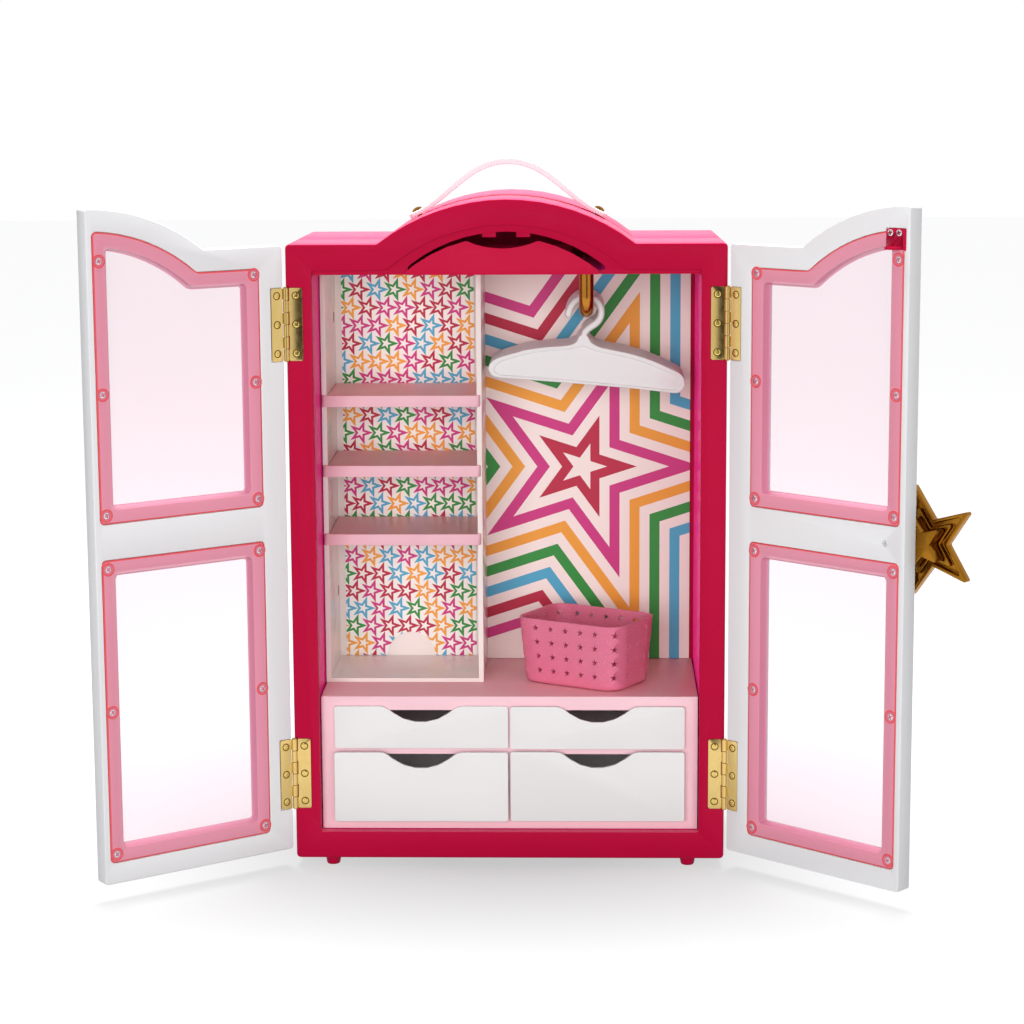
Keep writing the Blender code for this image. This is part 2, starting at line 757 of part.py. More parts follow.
def make_panel():
    left = tower_right - PANEL_TUCK
    right = bay_half - PANEL_SIDE_GAP
    front = tower_back + GAP
    piece = block("right_back_panel", (left, front, chest_top + GAP),
                  (right, front + PANEL_THICKNESS, bay_ceiling - GAP), "print")
    cut(piece, bar("panel_rod_hole", ROD_RADIUS + GAP, front - OVERRUN,
                   front + PANEL_THICKNESS + OVERRUN, "Y", (rod_x, 0, rod_z), ROUND_SIDES))


def make_tower():
    piece = block("shelf_tower", (tower_left, tower_front, tower_bottom),
                  (tower_right, tower_back, tower_top), "white_gloss")
    inner_left = tower_left + TOWER_WALL
    inner_right = tower_right - TOWER_WALL
    inner_back = tower_back - TOWER_BACK_WALL
    inner_floor = tower_bottom + TOWER_PLATE
    inner_top = tower_top - TOWER_PLATE
    cut(piece, block("tower_hollow", (inner_left, tower_front - OVERRUN, inner_floor),
                     (inner_right, inner_back, inner_top)))
    card_back = inner_back - GAP
    card_front = card_back - CARD_THICKNESS
    shelf_back = card_front - GAP
    shelf_right = tower_right - SHELF_LIP_RELIEF
    for level, height in SHELF_HEIGHTS.items():
        top = chest_top + height
        under = top - SHELF_PLATE - GAP
        for side, hand in ((-1, "left"), (1, "right")):
            wall = inner_left if side < 0 else inner_right
            edges = sorted((wall + side * TOWER_WALL / 2, wall - side * LEDGE_WIDTH))
            ledge = block("ledge_" + level + "_" + hand,
                          (edges[0], tower_front + LEDGE_WIDTH, under - LEDGE_HEIGHT),
                          (edges[1], shelf_back, under))
            join(piece, ledge)
        lip_back = tower_front - GAP
        lip_front = lip_back - SHELF_LIP_DEPTH
        lip = rounded([(tower_left, lip_front, SHELF_LIP_CORNER),
                       (shelf_right, lip_front, SHELF_LIP_CORNER),
                       (shelf_right, lip_back, 0), (tower_left, lip_back, 0)])
        shelf = prism("shelf_" + level, [lip], "Z", top - SHELF_LIP_HEIGHT, top, "pink")
        join(shelf, block("shelf_" + level + "_plate",
                          (inner_left + GAP, lip_back - SHELF_LIP_DEPTH / 2,
                           top - SHELF_PLATE),
                          (inner_right - GAP, shelf_back, top - SHELF_RELIEF)))
    slot_back = inner_back - TOWER_SLOT_SETBACK
    slot_front = slot_back - TOWER_SLOT_WIDTH
    for number, height in enumerate(TOWER_SLOTS):
        low = chest_top + height - TOWER_SLOT_HEIGHT / 2
        cut(piece, block("tower_slot_" + str(number), (tower_left - OVERRUN, slot_front, low),
                         (tower_right + OVERRUN, slot_back, low + TOWER_SLOT_HEIGHT)))
    middle = (inner_left + inner_right) / 2
    low = inner_floor + GAP
    bite = arc(middle, low, CARD_CUT_RADIUS, math.pi, 0, ARCH_STEPS // 2)
    card_left = inner_left + CARD_SIDE_GAP
    card_right = inner_right - CARD_SIDE_GAP
    card_top = inner_top - GAP
    outline = [(card_left, low)] + bite
    outline += [(card_right, low), (card_right, card_top), (card_left, card_top)]
    prism("tower_backing", [outline], "Y", card_front, card_back, "print")


def make_chest():
    piece = block("drawer_chest", (-chest_half, chest_front, chest_bottom),
                  (chest_half, chest_back, chest_top), "pink")
    for side, hand in ((-1, "left"), (1, "right")):
        edges = sorted((side * CHEST_POST / 2, side * (chest_half - CHEST_SIDE_WALL)))
        for level, (low, high) in (("upper", UPPER_CELL), ("lower", LOWER_CELL)):
            cut(piece, block("cell_" + level + "_" + hand,
                             (edges[0], chest_front - OVERRUN, chest_bottom + low),
                             (edges[1], chest_back - CHEST_BACK_WALL, chest_bottom + high)))


def make_drawer(name, side, front_span, cell, box_height, out):
    """A drawer with an overlay front that is scooped for the fingers."""
    back = chest_front - GAP
    front = back - DRAWER_FRONT_THICKNESS
    edges = sorted((side * DRAWER_MEET, side * (chest_half - DRAWER_SIDE_MARGIN)))
    low = chest_bottom + front_span[0]
    high = chest_bottom + front_span[1]
    middle = (edges[0] + edges[1]) / 2
    spare = SCOOP_BOTTOM_RADIUS * (1 / math.cos(SCOOP_SLOPE) - 1)
    reach = (SCOOP_DEPTH + spare) / math.tan(SCOOP_SLOPE)
    corners = [(edges[0], low, DRAWER_CORNER), (edges[1], low, DRAWER_CORNER),
               (edges[1], high, DRAWER_CORNER),
               (middle + reach, high, SCOOP_SHOULDER_RADIUS),
               (middle, high - SCOOP_DEPTH - spare, SCOOP_BOTTOM_RADIUS),
               (middle - reach, high, SCOOP_SHOULDER_RADIUS),
               (edges[0], high, DRAWER_CORNER)]
    piece = prism(name, [rounded(corners, RIM_STEPS)], "Y", front, back, "white")
    inner = sorted((side * (CHEST_POST / 2 + DRAWER_PLAY),
                    side * (chest_half - CHEST_SIDE_WALL - DRAWER_PLAY)))
    floor = chest_bottom + cell[0] + DRAWER_PLAY
    top = floor + box_height
    box = block(name + "_box", (inner[0], front + DRAWER_FRONT_THICKNESS / 2, floor),
                (inner[1], front + DRAWER_LENGTH, top))
    hollow = block(name + "_hollow", (inner[0] + DRAWER_WALL, front, floor + DRAWER_WALL),
                   (inner[1] - DRAWER_WALL, front + DRAWER_LENGTH - DRAWER_WALL,
                    top + OVERRUN))
    cut(box, hollow)
    join(piece, box)
    piece.location.y = -out
    return piece


def make_drawers():
    upper = (UPPER_FRONT, UPPER_CELL, UPPER_BOX_HEIGHT)
    lower = (LOWER_FRONT, LOWER_CELL, LOWER_BOX_HEIGHT)
    make_drawer("drawer_upper_left", -1, *upper, UPPER_LEFT_OUT)
    make_drawer("drawer_upper_right", 1, *upper, UPPER_RIGHT_OUT)
    make_drawer("drawer_lower_left", -1, *lower, LOWER_LEFT_OUT)
    make_drawer("drawer_lower_right", 1, *lower, LOWER_RIGHT_OUT)


def ring(width, length, corner, height):
    """A level round-cornered loop of a basket."""
    outline = rounded([(-width / 2, -length / 2, corner), (width / 2, -length / 2, corner),
                       (width / 2, length / 2, corner), (-width / 2, length / 2, corner)],
                      RIM_STEPS)
    return [(x, y, height) for x, y in outline]


def make_basket():
    """A tapered tub: rings up the outside and down the inside, lofted and capped."""
    share = BASKET_WALL / BASKET_HEIGHT
    low = [small + (large - small) * share for small, large in zip(BASKET_BASE, BASKET_RIM)]
    rings = [ring(*BASKET_BASE, 0), ring(*BASKET_RIM, BASKET_HEIGHT)]
    for (width, length, corner), height in ((BASKET_RIM, BASKET_HEIGHT), (low, BASKET_WALL)):
        rings.append(ring(width - 2 * BASKET_WALL, length - 2 * BASKET_WALL,
                          corner - BASKET_WALL, height))
    bm = bmesh.new()
    loops = [[bm.verts.new(point) for point in points] for points in rings]
    for lower, upper in zip(loops, loops[1:]):
        for index in range(len(lower)):
            after = (index + 1) % len(lower)
            bm.faces.new((lower[index], lower[after], upper[after], upper[index]))
    bm.faces.new(reversed(loops[0]))
    bm.faces.new(loops[-1])
    bmesh.ops.recalc_face_normals(bm, faces=bm.faces)
    piece = from_bmesh("basket", bm, "basket_pink")
    piece.rotation_euler.z = BASKET_TURN
    piece.location = (hanging_middle - BASKET_OFFSET, front_y + BASKET_SETBACK,
                      chest_top + GAP)


def make_rod():
    """The rod drops from the ceiling, turns and runs back to the rear wall."""
    head = bay_ceiling + ROD_HEAD
    bend = arc(rod_y + ROD_BEND, rod_z + ROD_BEND, ROD_BEND, math.pi, 1.5 * math.pi, RIM_STEPS)
    route = [(rod_y, head)] + bend + [(bay_back, rod_z)]
    tube("clothes_rod", [(rod_x, y, z) for y, z in route], ROD_RADIUS, "gold")


def offset_path(points, distance):
    """A path moved sideways by a distance, to the left of its direction."""
    moved = []
    for index, point in enumerate(points):
        before = points[max(index - 1, 0)]
        after = points[min(index + 1, len(points) - 1)]
        along = (Vector(after) - Vector(before)).normalized()
        moved.append((point[0] - along.y * distance, point[1] + along.x * distance))
    return moved


def hook_path():
    """The middle line of a hook, from its open tip to the neck of the hanger."""
    radius = HOOK_INNER_RADIUS + HOOK_WIDTH / 2
    centre_z = ROD_RADIUS + GAP - HOOK_INNER_RADIUS
    path = arc(0, centre_z, radius, HOOK_START, HOOK_END, ARCH_STEPS - 4)
    start = Vector(path[-1])
    heading = Vector((math.sin(HOOK_END), -math.cos(HOOK_END)))
    end = Vector((NECK_X, NECK_Z))
    pull = (start - end).length / 2
    first = start + heading * pull
    last = end + Vector((0, pull))
    for step in range(1, RIM_STEPS + 1):
        share = step / RIM_STEPS
        rest = 1 - share
        point = (start * rest ** 3 + first * 3 * rest ** 2 * share
                 + last * 3 * rest * share ** 2 + end * share ** 3)
        path.append((point.x, point.y))
    return path


def hanger_body(inset, neck=None):
    """A hanger's body under its crown, drawn in by an even inset; a neck may join the crown."""
    half = hanger_half_span - inset
    radius = hanger_crown_radius - inset
    centre_z = HANGER_TOP - hanger_crown_radius
    start = math.acos(half / radius)
    crown = arc(HANGER_CENTRE_X, centre_z, radius, math.pi - start, start, ARCH_STEPS - 4)
    shoulder = HANGER_SHOULDER_RADIUS - inset
    bottom = hanger_bottom + inset
    foot = HANGER_END_RADIUS - inset
    ends = [(*crown[-1], shoulder), (HANGER_CENTRE_X + half, bottom, foot),
            (HANGER_CENTRE_X - half, bottom, foot), (*crown[0], shoulder)]
    crown = crown[1:-1]
    if neck is None:
        return rounded(ends + plain(crown))
    near = NECK_X - HOOK_WIDTH / 2
    far = NECK_X + HOOK_WIDTH / 2
    left = [point for point in crown if point[0] < near - 2 * NECK_FILLET]
    right = [point for point in crown if point[0] > far + 2 * NECK_FILLET]
    foot_left, foot_right = ((x, centre_z + chord(radius, x - HANGER_CENTRE_X), NECK_FILLET)
                             for x in (near, far))
    return rounded(plain(right) + ends + plain(left) + [foot_left] + plain(neck)
                   + [foot_right])


def make_hanger(number):
    path = hook_path()
    outer = offset_path(path, HOOK_WIDTH / 2)
    inner = offset_path(path, -HOOK_WIDTH / 2)
    tip = Vector(path[0])
    tip_start = math.atan2(inner[0][1] - tip.y, inner[0][0] - tip.x)
    cap = arc(tip.x, tip.y, HOOK_WIDTH / 2, tip_start, tip_start - math.pi, 4)
    name = "hanger_" + str(number)
    half = HANGER_THICKNESS / 2
    outline = hanger_body(0, list(reversed(inner)) + cap[1:-1] + outer)
    piece = prism(name, [outline], "Y", -half, half, "white")
    panel = hanger_body(HANGER_RIM)
    cut(piece, prism(name + "_front_recess", [panel], "Y", -half - OVERRUN,
                     -half + HANGER_RECESS))
    cut(piece, prism(name + "_back_recess", [panel], "Y", half - HANGER_RECESS,
                     half + OVERRUN))
    first = rod_y + ROD_BEND + HANGER_LEAD
    pitch = rod_run * HANGER_PITCH_SHARE
    piece.location = (rod_x, first + pitch * (number - 1), rod_z)
    piece.rotation_euler.y = HANGER_TILT


def make_strap():
    """A ribbon that lies along the arch at its ends and rises to a handle between them."""
    middle_radius = ARCH_RADIUS + GAP + STRAP_THICKNESS / 2
    start = math.asin(STRAP_END_X / middle_radius)
    lift = math.asin(STRAP_LIFT_X / middle_radius)
    seat = arc(0, arch_centre_z, middle_radius, math.pi / 2 - start, math.pi / 2 - lift, 3)
    first = Vector(seat[-1])
    last = Vector((0, STRAP_TOP - STRAP_THICKNESS / 2))
    second = first + Vector((-math.cos(lift), math.sin(lift))) * STRAP_END_HANDLE
    third = last + Vector((STRAP_TOP_HANDLE, 0))
    half = list(seat)
    for step in range(1, STRAP_STEPS + 1):
        share = step / STRAP_STEPS
        rest = 1 - share
        point = (first * rest ** 3 + second * 3 * rest ** 2 * share
                 + third * 3 * rest * share ** 2 + last * share ** 3)
        half.append((point.x, point.y))
    path = half + [(-x, z) for x, z in reversed(half[:-1])]
    upper = offset_path(path, -STRAP_THICKNESS / 2)
    lower = offset_path(path, STRAP_THICKNESS / 2)
    middle = front_y + STRAP_SETBACK
    piece = prism("handle_strap", [upper + list(reversed(lower))], "Y",
                  middle - STRAP_WIDTH / 2, middle + STRAP_WIDTH / 2, "white")
    cut(piece, rivet_hole("strap_rivet_hole_left", -1), rivet_hole("strap_rivet_hole_right", 1))
    for side, hand in ((-1, "left"), (1, "right")):
        dome = []
        for step in range(RIM_STEPS + 1):
            angle = math.pi / 2 * step / RIM_STEPS
            dome.append((RIVET_HEAD_RADIUS * math.sin(angle),
                         RIVET_HEAD_HEIGHT * math.cos(angle)))
        seat_height = STRAP_THICKNESS + 2 * GAP
        profile = [(out, up + seat_height) for out, up in dome]
        profile += [(RIVET_SHANK_RADIUS, seat_height), (RIVET_SHANK_RADIUS, -SHELL_WALL),
                    (0, -SHELL_WALL)]
        rivet = turned("rivet_" + hand, profile, BARREL_SIDES, "brass")
        rivet.matrix_world = rivet_frame(side)


def make_feet():
    top = FOOT_SEAT_DEPTH - GAP
    profile = [(0, top), (FOOT_RADIUS, top), (FOOT_RADIUS, -FOOT_HEIGHT / 2),
               (FOOT_TIP_RADIUS, -FOOT_HEIGHT), (0, -FOOT_HEIGHT)]
    for side, hand in ((-1, "left"), (1, "right")):
        for end, setback in foot_setbacks.items():
            foot = turned("foot_" + end + "_" + hand, profile, ROUND_SIDES // 2, "raspberry")
            foot.location = (side * foot_x, front_y + setback, 0)


def across(side, outline):
    """An outline measured from the hinge, turned to the side that the hinge is on."""
    return [(-side * along, z) for along, z in outline]


def hinge_leaf(name, side, facing, own, centre_z):
    """Half a hinge about its barrel: a plate, fingers and every second knuckle."""
    near = HINGE_PROUD if facing > 0 else DOOR_REST_GAP - HINGE_PROUD
    low_y = near if facing > 0 else -near - LEAF_THICKNESS
    high_y = low_y + LEAF_THICKNESS
    half = HINGE_HEIGHT / 2
    far = LEAF_START + LEAF_WIDTH
    plate = rounded([(LEAF_START, centre_z - half, 0), (far, centre_z - half, LEAF_CORNER),
                     (far, centre_z + half, LEAF_CORNER), (LEAF_START, centre_z + half, 0)])
    piece = prism(name, [across(side, plate)], "Y", low_y, high_y, "brass")
    pitch = HINGE_HEIGHT / KNUCKLES
    for number in range(own, KNUCKLES, 2):
        low = centre_z - half + pitch * number + GAP / 2
        high = low + pitch - GAP
        label = name + "_knuckle_" + str(number)
        edges = sorted((-side * PIN_RADIUS, -side * (LEAF_START + LEAF_THICKNESS)))
        join(piece, block(label + "_finger", (edges[0], low_y, low), (edges[1], high_y, high)))
        join(piece, bar(label, BARREL_RADIUS, low, high, "Z", (0, 0, 0), BARREL_SIDES))
    cut(piece, bar(name + "_bore", PIN_RADIUS + GAP, centre_z - half - OVERRUN,
                   centre_z + half + OVERRUN, "Z", (0, 0, 0), BARREL_SIDES))
    return piece


def make_hinges(side, hand, fixed, door):
    for level, centre_z in HINGE_CENTRES.items():
        label = hand + "_" + level + "_hinge"
        hinge_leaf(label + "_frame_leaf", side, 1, 0, centre_z).parent = fixed
        hinge_leaf(label + "_door_leaf", side, -1, 1, centre_z).parent = door
        top = HINGE_HEIGHT / 2 + GAP
        cap = top + PIN_HEAD_HEIGHT
        half_profile = [(0, cap), (PIN_HEAD_RADIUS, cap), (PIN_HEAD_RADIUS, top),
                        (PIN_RADIUS, top)]
        profile = half_profile + [(out, -up) for out, up in reversed(half_profile)]
        pin = turned(label + "_pin", profile, BARREL_SIDES, "brass")
        pin.location.z = centre_z
        pin.parent = fixed


door_arch_radius = ARCH_RADIUS - DOOR_DROP
door_shoulder = SHOULDER_HEIGHT - DOOR_DROP
door_free = half_width - DOOR_MEET


def door_point(radius, z):
    """How far from the hinge a circle about the arch's centre reaches a height."""
    return half_width - chord(radius, z - arch_centre_z)


def arched_panel(near, far, bottom, shoulder, radius, corner):
    """A door-like outline: a rectangle whose free upper corner follows the arch."""
    valley = door_point(radius, shoulder)
    end = math.atan2(shoulder - arch_centre_z, valley - half_width)
    start = math.acos((far - half_width) / radius)
    crown = arc(half_width, arch_centre_z, radius, start, end, ARCH_STEPS // 2)
    corners = [(near, bottom, corner), (far, bottom, corner), (*crown[0], corner)]
    corners += plain(crown[1:-1])
    corners += [(*crown[-1], VALLEY_CORNER), (near, shoulder, corner)]
    return rounded(corners)


def upper_window(inset, corner=WINDOW_CORNER):
    return arched_panel(DOOR_HINGE_GAP + HINGE_STILE + inset, door_free - FREE_STILE - inset,
                        upper_window_bottom + inset, door_shoulder - TOP_RAIL - inset,
                        door_arch_radius - TOP_RAIL - inset, corner)


def lower_window(inset, corner=WINDOW_CORNER):
    return rectangle(DOOR_HINGE_GAP + HINGE_STILE + inset, DOOR_BOTTOM + BOTTOM_RAIL + inset,
                     door_free - FREE_STILE - inset, lower_window_top - inset, corner)


def boss_places(level):
    """Screw places of an insert: two columns of three."""
    near = DOOR_HINGE_GAP + HINGE_STILE + BOSS_INSET
    far = door_free - FREE_STILE - BOSS_INSET
    if level == "lower":
        low = DOOR_BOTTOM + BOTTOM_RAIL + BOSS_END_INSET
        high = lower_window_top - BOSS_END_INSET
        middle = (low + high) / 2
        tops = (high, high)
    else:
        low = upper_window_bottom + BOSS_END_INSET
        middle = UPPER_BOSS_MIDDLE
        arch_high = arch_centre_z + chord(door_arch_radius - TOP_RAIL, far - half_width)
        tops = (door_shoulder - TOP_RAIL - BOSS_INSET, arch_high - BOSS_ARCH_DROP)
    places = []
    for column, top in zip((near, far), tops):
        places += [(column, low), (column, middle), (column, top)]
    return places


def door_depths(start, end):
    """Depths into the door from its inner face, as a low and a high Y about the hinge."""
    face = HINGE_PROUD - DOOR_REST_GAP
    return face - end, face - start


def catch_pocket(name, side, room):
    """The catch's plate as a box from the door's inner face, with room round it."""
    near = half_width - CATCH_NEAR - CATCH_WIDTH - room
    far = half_width - CATCH_NEAR + room
    low_y, high_y = door_depths(-OVERRUN, CATCH_PLATE + room)
    outline = rectangle(near, CATCH_LOW - room, far, CATCH_HIGH + room, 0)
    return prism(name, [across(side, outline)], "Y", low_y, high_y)


def screw_hole(name, side, radius, start, end):
    low_y, high_y = door_depths(start, end)
    along = door_free - SCREW_FROM_EDGE
    return bar(name, radius, low_y, high_y, "Y", (-side * along, 0, CROSSPIECE_MIDDLE),
               BARREL_SIDES)


def make_door(side, hand, door):
    outline = arched_panel(DOOR_HINGE_GAP, door_free, DOOR_BOTTOM, door_shoulder,
                           door_arch_radius, DOOR_CORNER)
    frame = prism(hand + "_door_frame", [across(side, outline)], "Y",
                  *door_depths(0, DOOR_THICKNESS), "white")
    frame.parent = door
    for level, window in (("upper", upper_window), ("lower", lower_window)):
        label = hand + "_" + level + "_window"
        seat = prism(label + "_seat", [across(side, window(-GAP))], "Y",
                     *door_depths(-OVERRUN, FLANGE_THICKNESS + GAP))
        sill = FLANGE_WIDTH - STEP_WALL
        through = prism(label + "_through", [across(side, window(sill - GAP))], "Y",
                        *door_depths(-OVERRUN, DOOR_THICKNESS + OVERRUN))
        cut(frame, seat, through)
        insert = prism(label + "_insert", [across(side, window(0))], "Y",
                       *door_depths(0, FLANGE_THICKNESS), "window_pink")
        insert.parent = door
        join(insert, prism(label + "_step", [across(side, window(sill))], "Y",
                           *door_depths(FLANGE_THICKNESS / 2, PANE_DEPTH + PANE_THICKNESS)))
        hollow = prism(label + "_hollow", [across(side, window(FLANGE_WIDTH))], "Y",
                       *door_depths(-OVERRUN, PANE_DEPTH))
        for number, (along, z) in enumerate(boss_places(level)):
            low_y, high_y = door_depths(-2 * OVERRUN, PANE_DEPTH + OVERRUN)
            boss = bar(label + "_boss_" + str(number), BOSS_RADIUS, low_y, high_y, "Y",
                       (-side * along, 0, z), ROUND_SIDES // 2)
            cut(hollow, boss)
        cut(insert, hollow)
        if side > 0 and level == "upper":
            cut(insert, catch_pocket("insert_catch_pocket", side, GAP))
    for level, centre_z in HINGE_CENTRES.items():
        half = HINGE_HEIGHT / 2 + GAP
        edge = rectangle(DOOR_HINGE_GAP - OVERRUN, centre_z - half,
                         LEAF_START + LEAF_WIDTH + GAP, centre_z + half, 0)
        cut(frame, prism(hand + "_" + level + "_leaf_pocket", [across(side, edge)], "Y",
                         *door_depths(-OVERRUN, LEAF_THICKNESS + GAP)))
    if side > 0:
        cut(frame, catch_pocket("door_catch_pocket", side, GAP))
        cut(frame, screw_hole("latch_head_hole", side, SCREW_HEAD_RADIUS + GAP, -OVERRUN,
                              SCREW_SINK + SCREW_HEAD_HEIGHT + GAP))
        cut(frame, screw_hole("latch_shank_hole", side, SCREW_SHANK_RADIUS + GAP, 0,
                              DOOR_THICKNESS + OVERRUN))


def make_catch(side, door):
    """A plate let into the door's inner face, with a tongue that enters the cabinet."""
    near = half_width - CATCH_NEAR - CATCH_WIDTH
    far = half_width - CATCH_NEAR
    plate = rounded([(near, CATCH_LOW, 0), (far, CATCH_LOW, 0),
                     (far, CATCH_HIGH, CATCH_CORNER), (near, CATCH_HIGH, CATCH_CORNER)])
    piece = prism("door_catch", [across(side, plate)], "Y", *door_depths(0, CATCH_PLATE),
                  "raspberry")
    edges = sorted((-side * (half_width - TONGUE_NEAR),
                    -side * (half_width - TONGUE_NEAR - TONGUE_WIDTH)))
    low_y, high_y = door_depths(-TONGUE_LENGTH, CATCH_PLATE / 2)
    join(piece, block("catch_tongue", (edges[0], low_y, CATCH_LOW + GAP),
                      (edges[1], high_y, CATCH_LOW + GAP + TONGUE_THICKNESS)))
    piece.parent = door


def make_star_latch(side, door):
    """A hollow star that stands off the door on a hub, held by a screw from inside."""
    centre = -side * (door_free + STAR_PAST_EDGE)
    turn = 0 if side > 0 else math.pi
    outer_face = DOOR_THICKNESS + STAR_PROUD + STAR_THICKNESS
    inner_face = DOOR_THICKNESS + STAR_PROUD
    piece = prism("star_latch", [star(centre, CROSSPIECE_MIDDLE, STAR_RADIUS, STAR_SHARE,
                                      STAR_TIP_ROUND, turn)], "Y",
                  *door_depths(inner_face, outer_face), "gold")
    inner_radius = STAR_RADIUS - STAR_WALL / math.sin(math.radians(18))
    rib_outside = STAR_RADIUS * STAR_INNER_SHARE
    rib_inside = rib_outside - STAR_RIB / math.sin(math.radians(18))
    outlines = [star(centre, CROSSPIECE_MIDDLE, inner_radius, STAR_SHARE, STAR_TIP_ROUND, turn)]
    outlines.append(star(centre, CROSSPIECE_MIDDLE, rib_outside, STAR_SHARE, STAR_TIP_ROUND, turn))
    pocket = door_depths(inner_face - OVERRUN, inner_face + STAR_POCKET)
    cut(piece, prism("star_latch_pocket", outlines, "Y", *pocket))
    cut(piece, prism("star_latch_heart",
                     [star(centre, CROSSPIECE_MIDDLE, rib_inside, STAR_SHARE, STAR_TIP_ROUND,
                           turn)], "Y", *pocket))
    piece.parent = door
    hub_low, hub_high = DOOR_THICKNESS + GAP, inner_face - GAP
    hub = prism("star_hub", [star(centre, CROSSPIECE_MIDDLE, HUB_RADIUS, HUB_SHARE,
                                  STAR_TIP_ROUND, turn)], "Y",
                *door_depths(hub_low, hub_high), "gold")
    join(hub, screw_hole("hub_lobe", side, HUB_LOBE_RADIUS, hub_low, hub_high))
    cut(hub, screw_hole("hub_screw_hole", side, SCREW_SHANK_RADIUS + GAP, 0,
                        hub_low + SCREW_BITE + GAP))
    hub.parent = door
    length = DOOR_THICKNESS + GAP + SCREW_BITE - SCREW_SINK
    profile = [(0, 0), (SCREW_HEAD_RADIUS, 0), (SCREW_HEAD_RADIUS, -SCREW_HEAD_HEIGHT),
               (SCREW_SHANK_RADIUS, -SCREW_HEAD_HEIGHT), (SCREW_SHANK_RADIUS, -length),
               (0, -length)]
    screw = turned("latch_screw", profile, BARREL_SIDES, "silver")
    head_y = door_depths(SCREW_SINK, SCREW_SINK)[0]
    screw.location = (-side * (door_free - SCREW_FROM_EDGE), head_y, CROSSPIECE_MIDDLE)
    screw.rotation_euler.x = -math.pi / 2
    screw.parent = door


def make_side(side, hand, opened):
    """One door with its hinges, about an empty on the hinge axis."""
    fixed = bpy.data.objects.new(hand + "_hinge_line", None)
    swing = bpy.data.objects.new(hand + "_door_swing", None)
    for empty in (fixed, swing):
        PARTS.objects.link(empty)
        empty.location = (side * half_width, hinge_y, 0)
    swing.rotation_euler.z = side * opened
    make_door(side, hand, swing)
    make_hinges(side, hand, fixed, swing)
    if side > 0:
        make_catch(side, swing)
        make_star_latch(side, swing)


make_front_frame()
make_rear_shell()
make_liner()
make_top_tray()
make_panel()
make_tower()
make_chest()
make_drawers()
make_basket()
make_rod()
for hanger_number in range(1, HANGER_COUNT + 1):
    make_hanger(hanger_number)
make_strap()
make_feet()
make_side(-1, "left", LEFT_OPEN)
make_side(1, "right", RIGHT_OPEN)
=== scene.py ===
"""The looks of a doll's closet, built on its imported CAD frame. Metres, in the CAD's frame."""

import json
import math

import bmesh
import bpy
from mathutils import Matrix, Vector

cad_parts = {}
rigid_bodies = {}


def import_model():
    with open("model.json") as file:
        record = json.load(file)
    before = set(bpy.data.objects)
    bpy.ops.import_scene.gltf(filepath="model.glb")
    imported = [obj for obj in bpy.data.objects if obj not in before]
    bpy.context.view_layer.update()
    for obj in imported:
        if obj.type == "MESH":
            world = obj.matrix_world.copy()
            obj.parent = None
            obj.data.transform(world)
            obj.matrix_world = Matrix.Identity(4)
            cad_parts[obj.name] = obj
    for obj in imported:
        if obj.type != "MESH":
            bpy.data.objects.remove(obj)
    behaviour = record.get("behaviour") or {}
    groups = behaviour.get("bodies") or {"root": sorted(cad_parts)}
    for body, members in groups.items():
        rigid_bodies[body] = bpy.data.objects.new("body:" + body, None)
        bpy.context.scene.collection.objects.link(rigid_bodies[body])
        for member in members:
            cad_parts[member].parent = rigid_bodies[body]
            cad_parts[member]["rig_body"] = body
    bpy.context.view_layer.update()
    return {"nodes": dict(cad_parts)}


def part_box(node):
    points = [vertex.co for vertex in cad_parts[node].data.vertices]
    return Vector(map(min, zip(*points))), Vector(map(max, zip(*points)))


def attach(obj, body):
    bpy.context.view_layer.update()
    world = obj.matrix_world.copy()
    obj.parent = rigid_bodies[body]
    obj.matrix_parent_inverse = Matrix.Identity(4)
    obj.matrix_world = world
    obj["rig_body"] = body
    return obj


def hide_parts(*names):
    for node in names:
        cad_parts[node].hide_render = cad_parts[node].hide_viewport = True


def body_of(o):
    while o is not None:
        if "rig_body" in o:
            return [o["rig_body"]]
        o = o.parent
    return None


for old in list(bpy.data.objects):
    bpy.data.objects.remove(old, do_unlink=True)

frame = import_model()
nodes = frame["nodes"]
scene = bpy.context.scene
scene.view_settings.view_transform = "Standard"

# Cabinet and doors; a door's inner face is measured from its hinge axis, its heads from there
FLOOR = -0.007
HALF_WIDTH = 0.159
FRONT = -0.07125
HINGE_Y = -0.07155
INNER_FACE = -0.0003
HEAD_PROUD = 0.0001
DOORS = {"left": (-1, math.radians(142.7)), "right": (1, math.radians(137.9))}
HINGE_CENTRES = {"upper": 0.39905, "lower": 0.065}
FACE_UP = Matrix.Rotation(-math.pi / 2, 4, "X")
SLOT_DEPTHS = (0.0485, 0.0555)
SLOT_WALLS = (-0.1364, -0.0241)

# Finishes and own meshes
EVEN = (1, 1, 1)
DRIFT_SCALE = 6.0
SKIN_GRAIN = 900.0
SKIN_DEPTH = 0.00002
NOISE_BAND = (0.3, 0.7)  # where most of a noise lies
SOFT_ANGLE, FLAT_ANGLE = math.radians(32), math.radians(0.4)
SHARP_ANGLE = 35
BEND_STEPS = SMOOTH_STEPS = 4


def linear(red, green, blue):
    """An 8-bit display colour as linear light."""
    out = []
    for value in (red, green, blue):
        value /= 255
        out.append(value / 12.92 if value <= 0.04045 else ((value + 0.055) / 1.055) ** 2.4)
    return (*out, 1.0)


def tree_node(tree, kind, inputs=(), **settings):
    """A shader node with its settings and its inputs, given as values or as sockets."""
    made = tree.nodes.new("ShaderNode" + kind)
    for key, value in settings.items():
        setattr(made, key, value)
    for key, value in dict(inputs).items():
        put(tree, made.inputs[key], value)
    return made


def put(tree, socket, value):
    """A value, or a link from another socket, on an input."""
    if isinstance(value, bpy.types.NodeSocket):
        tree.links.new(value, socket)
    else:
        socket.default_value = value


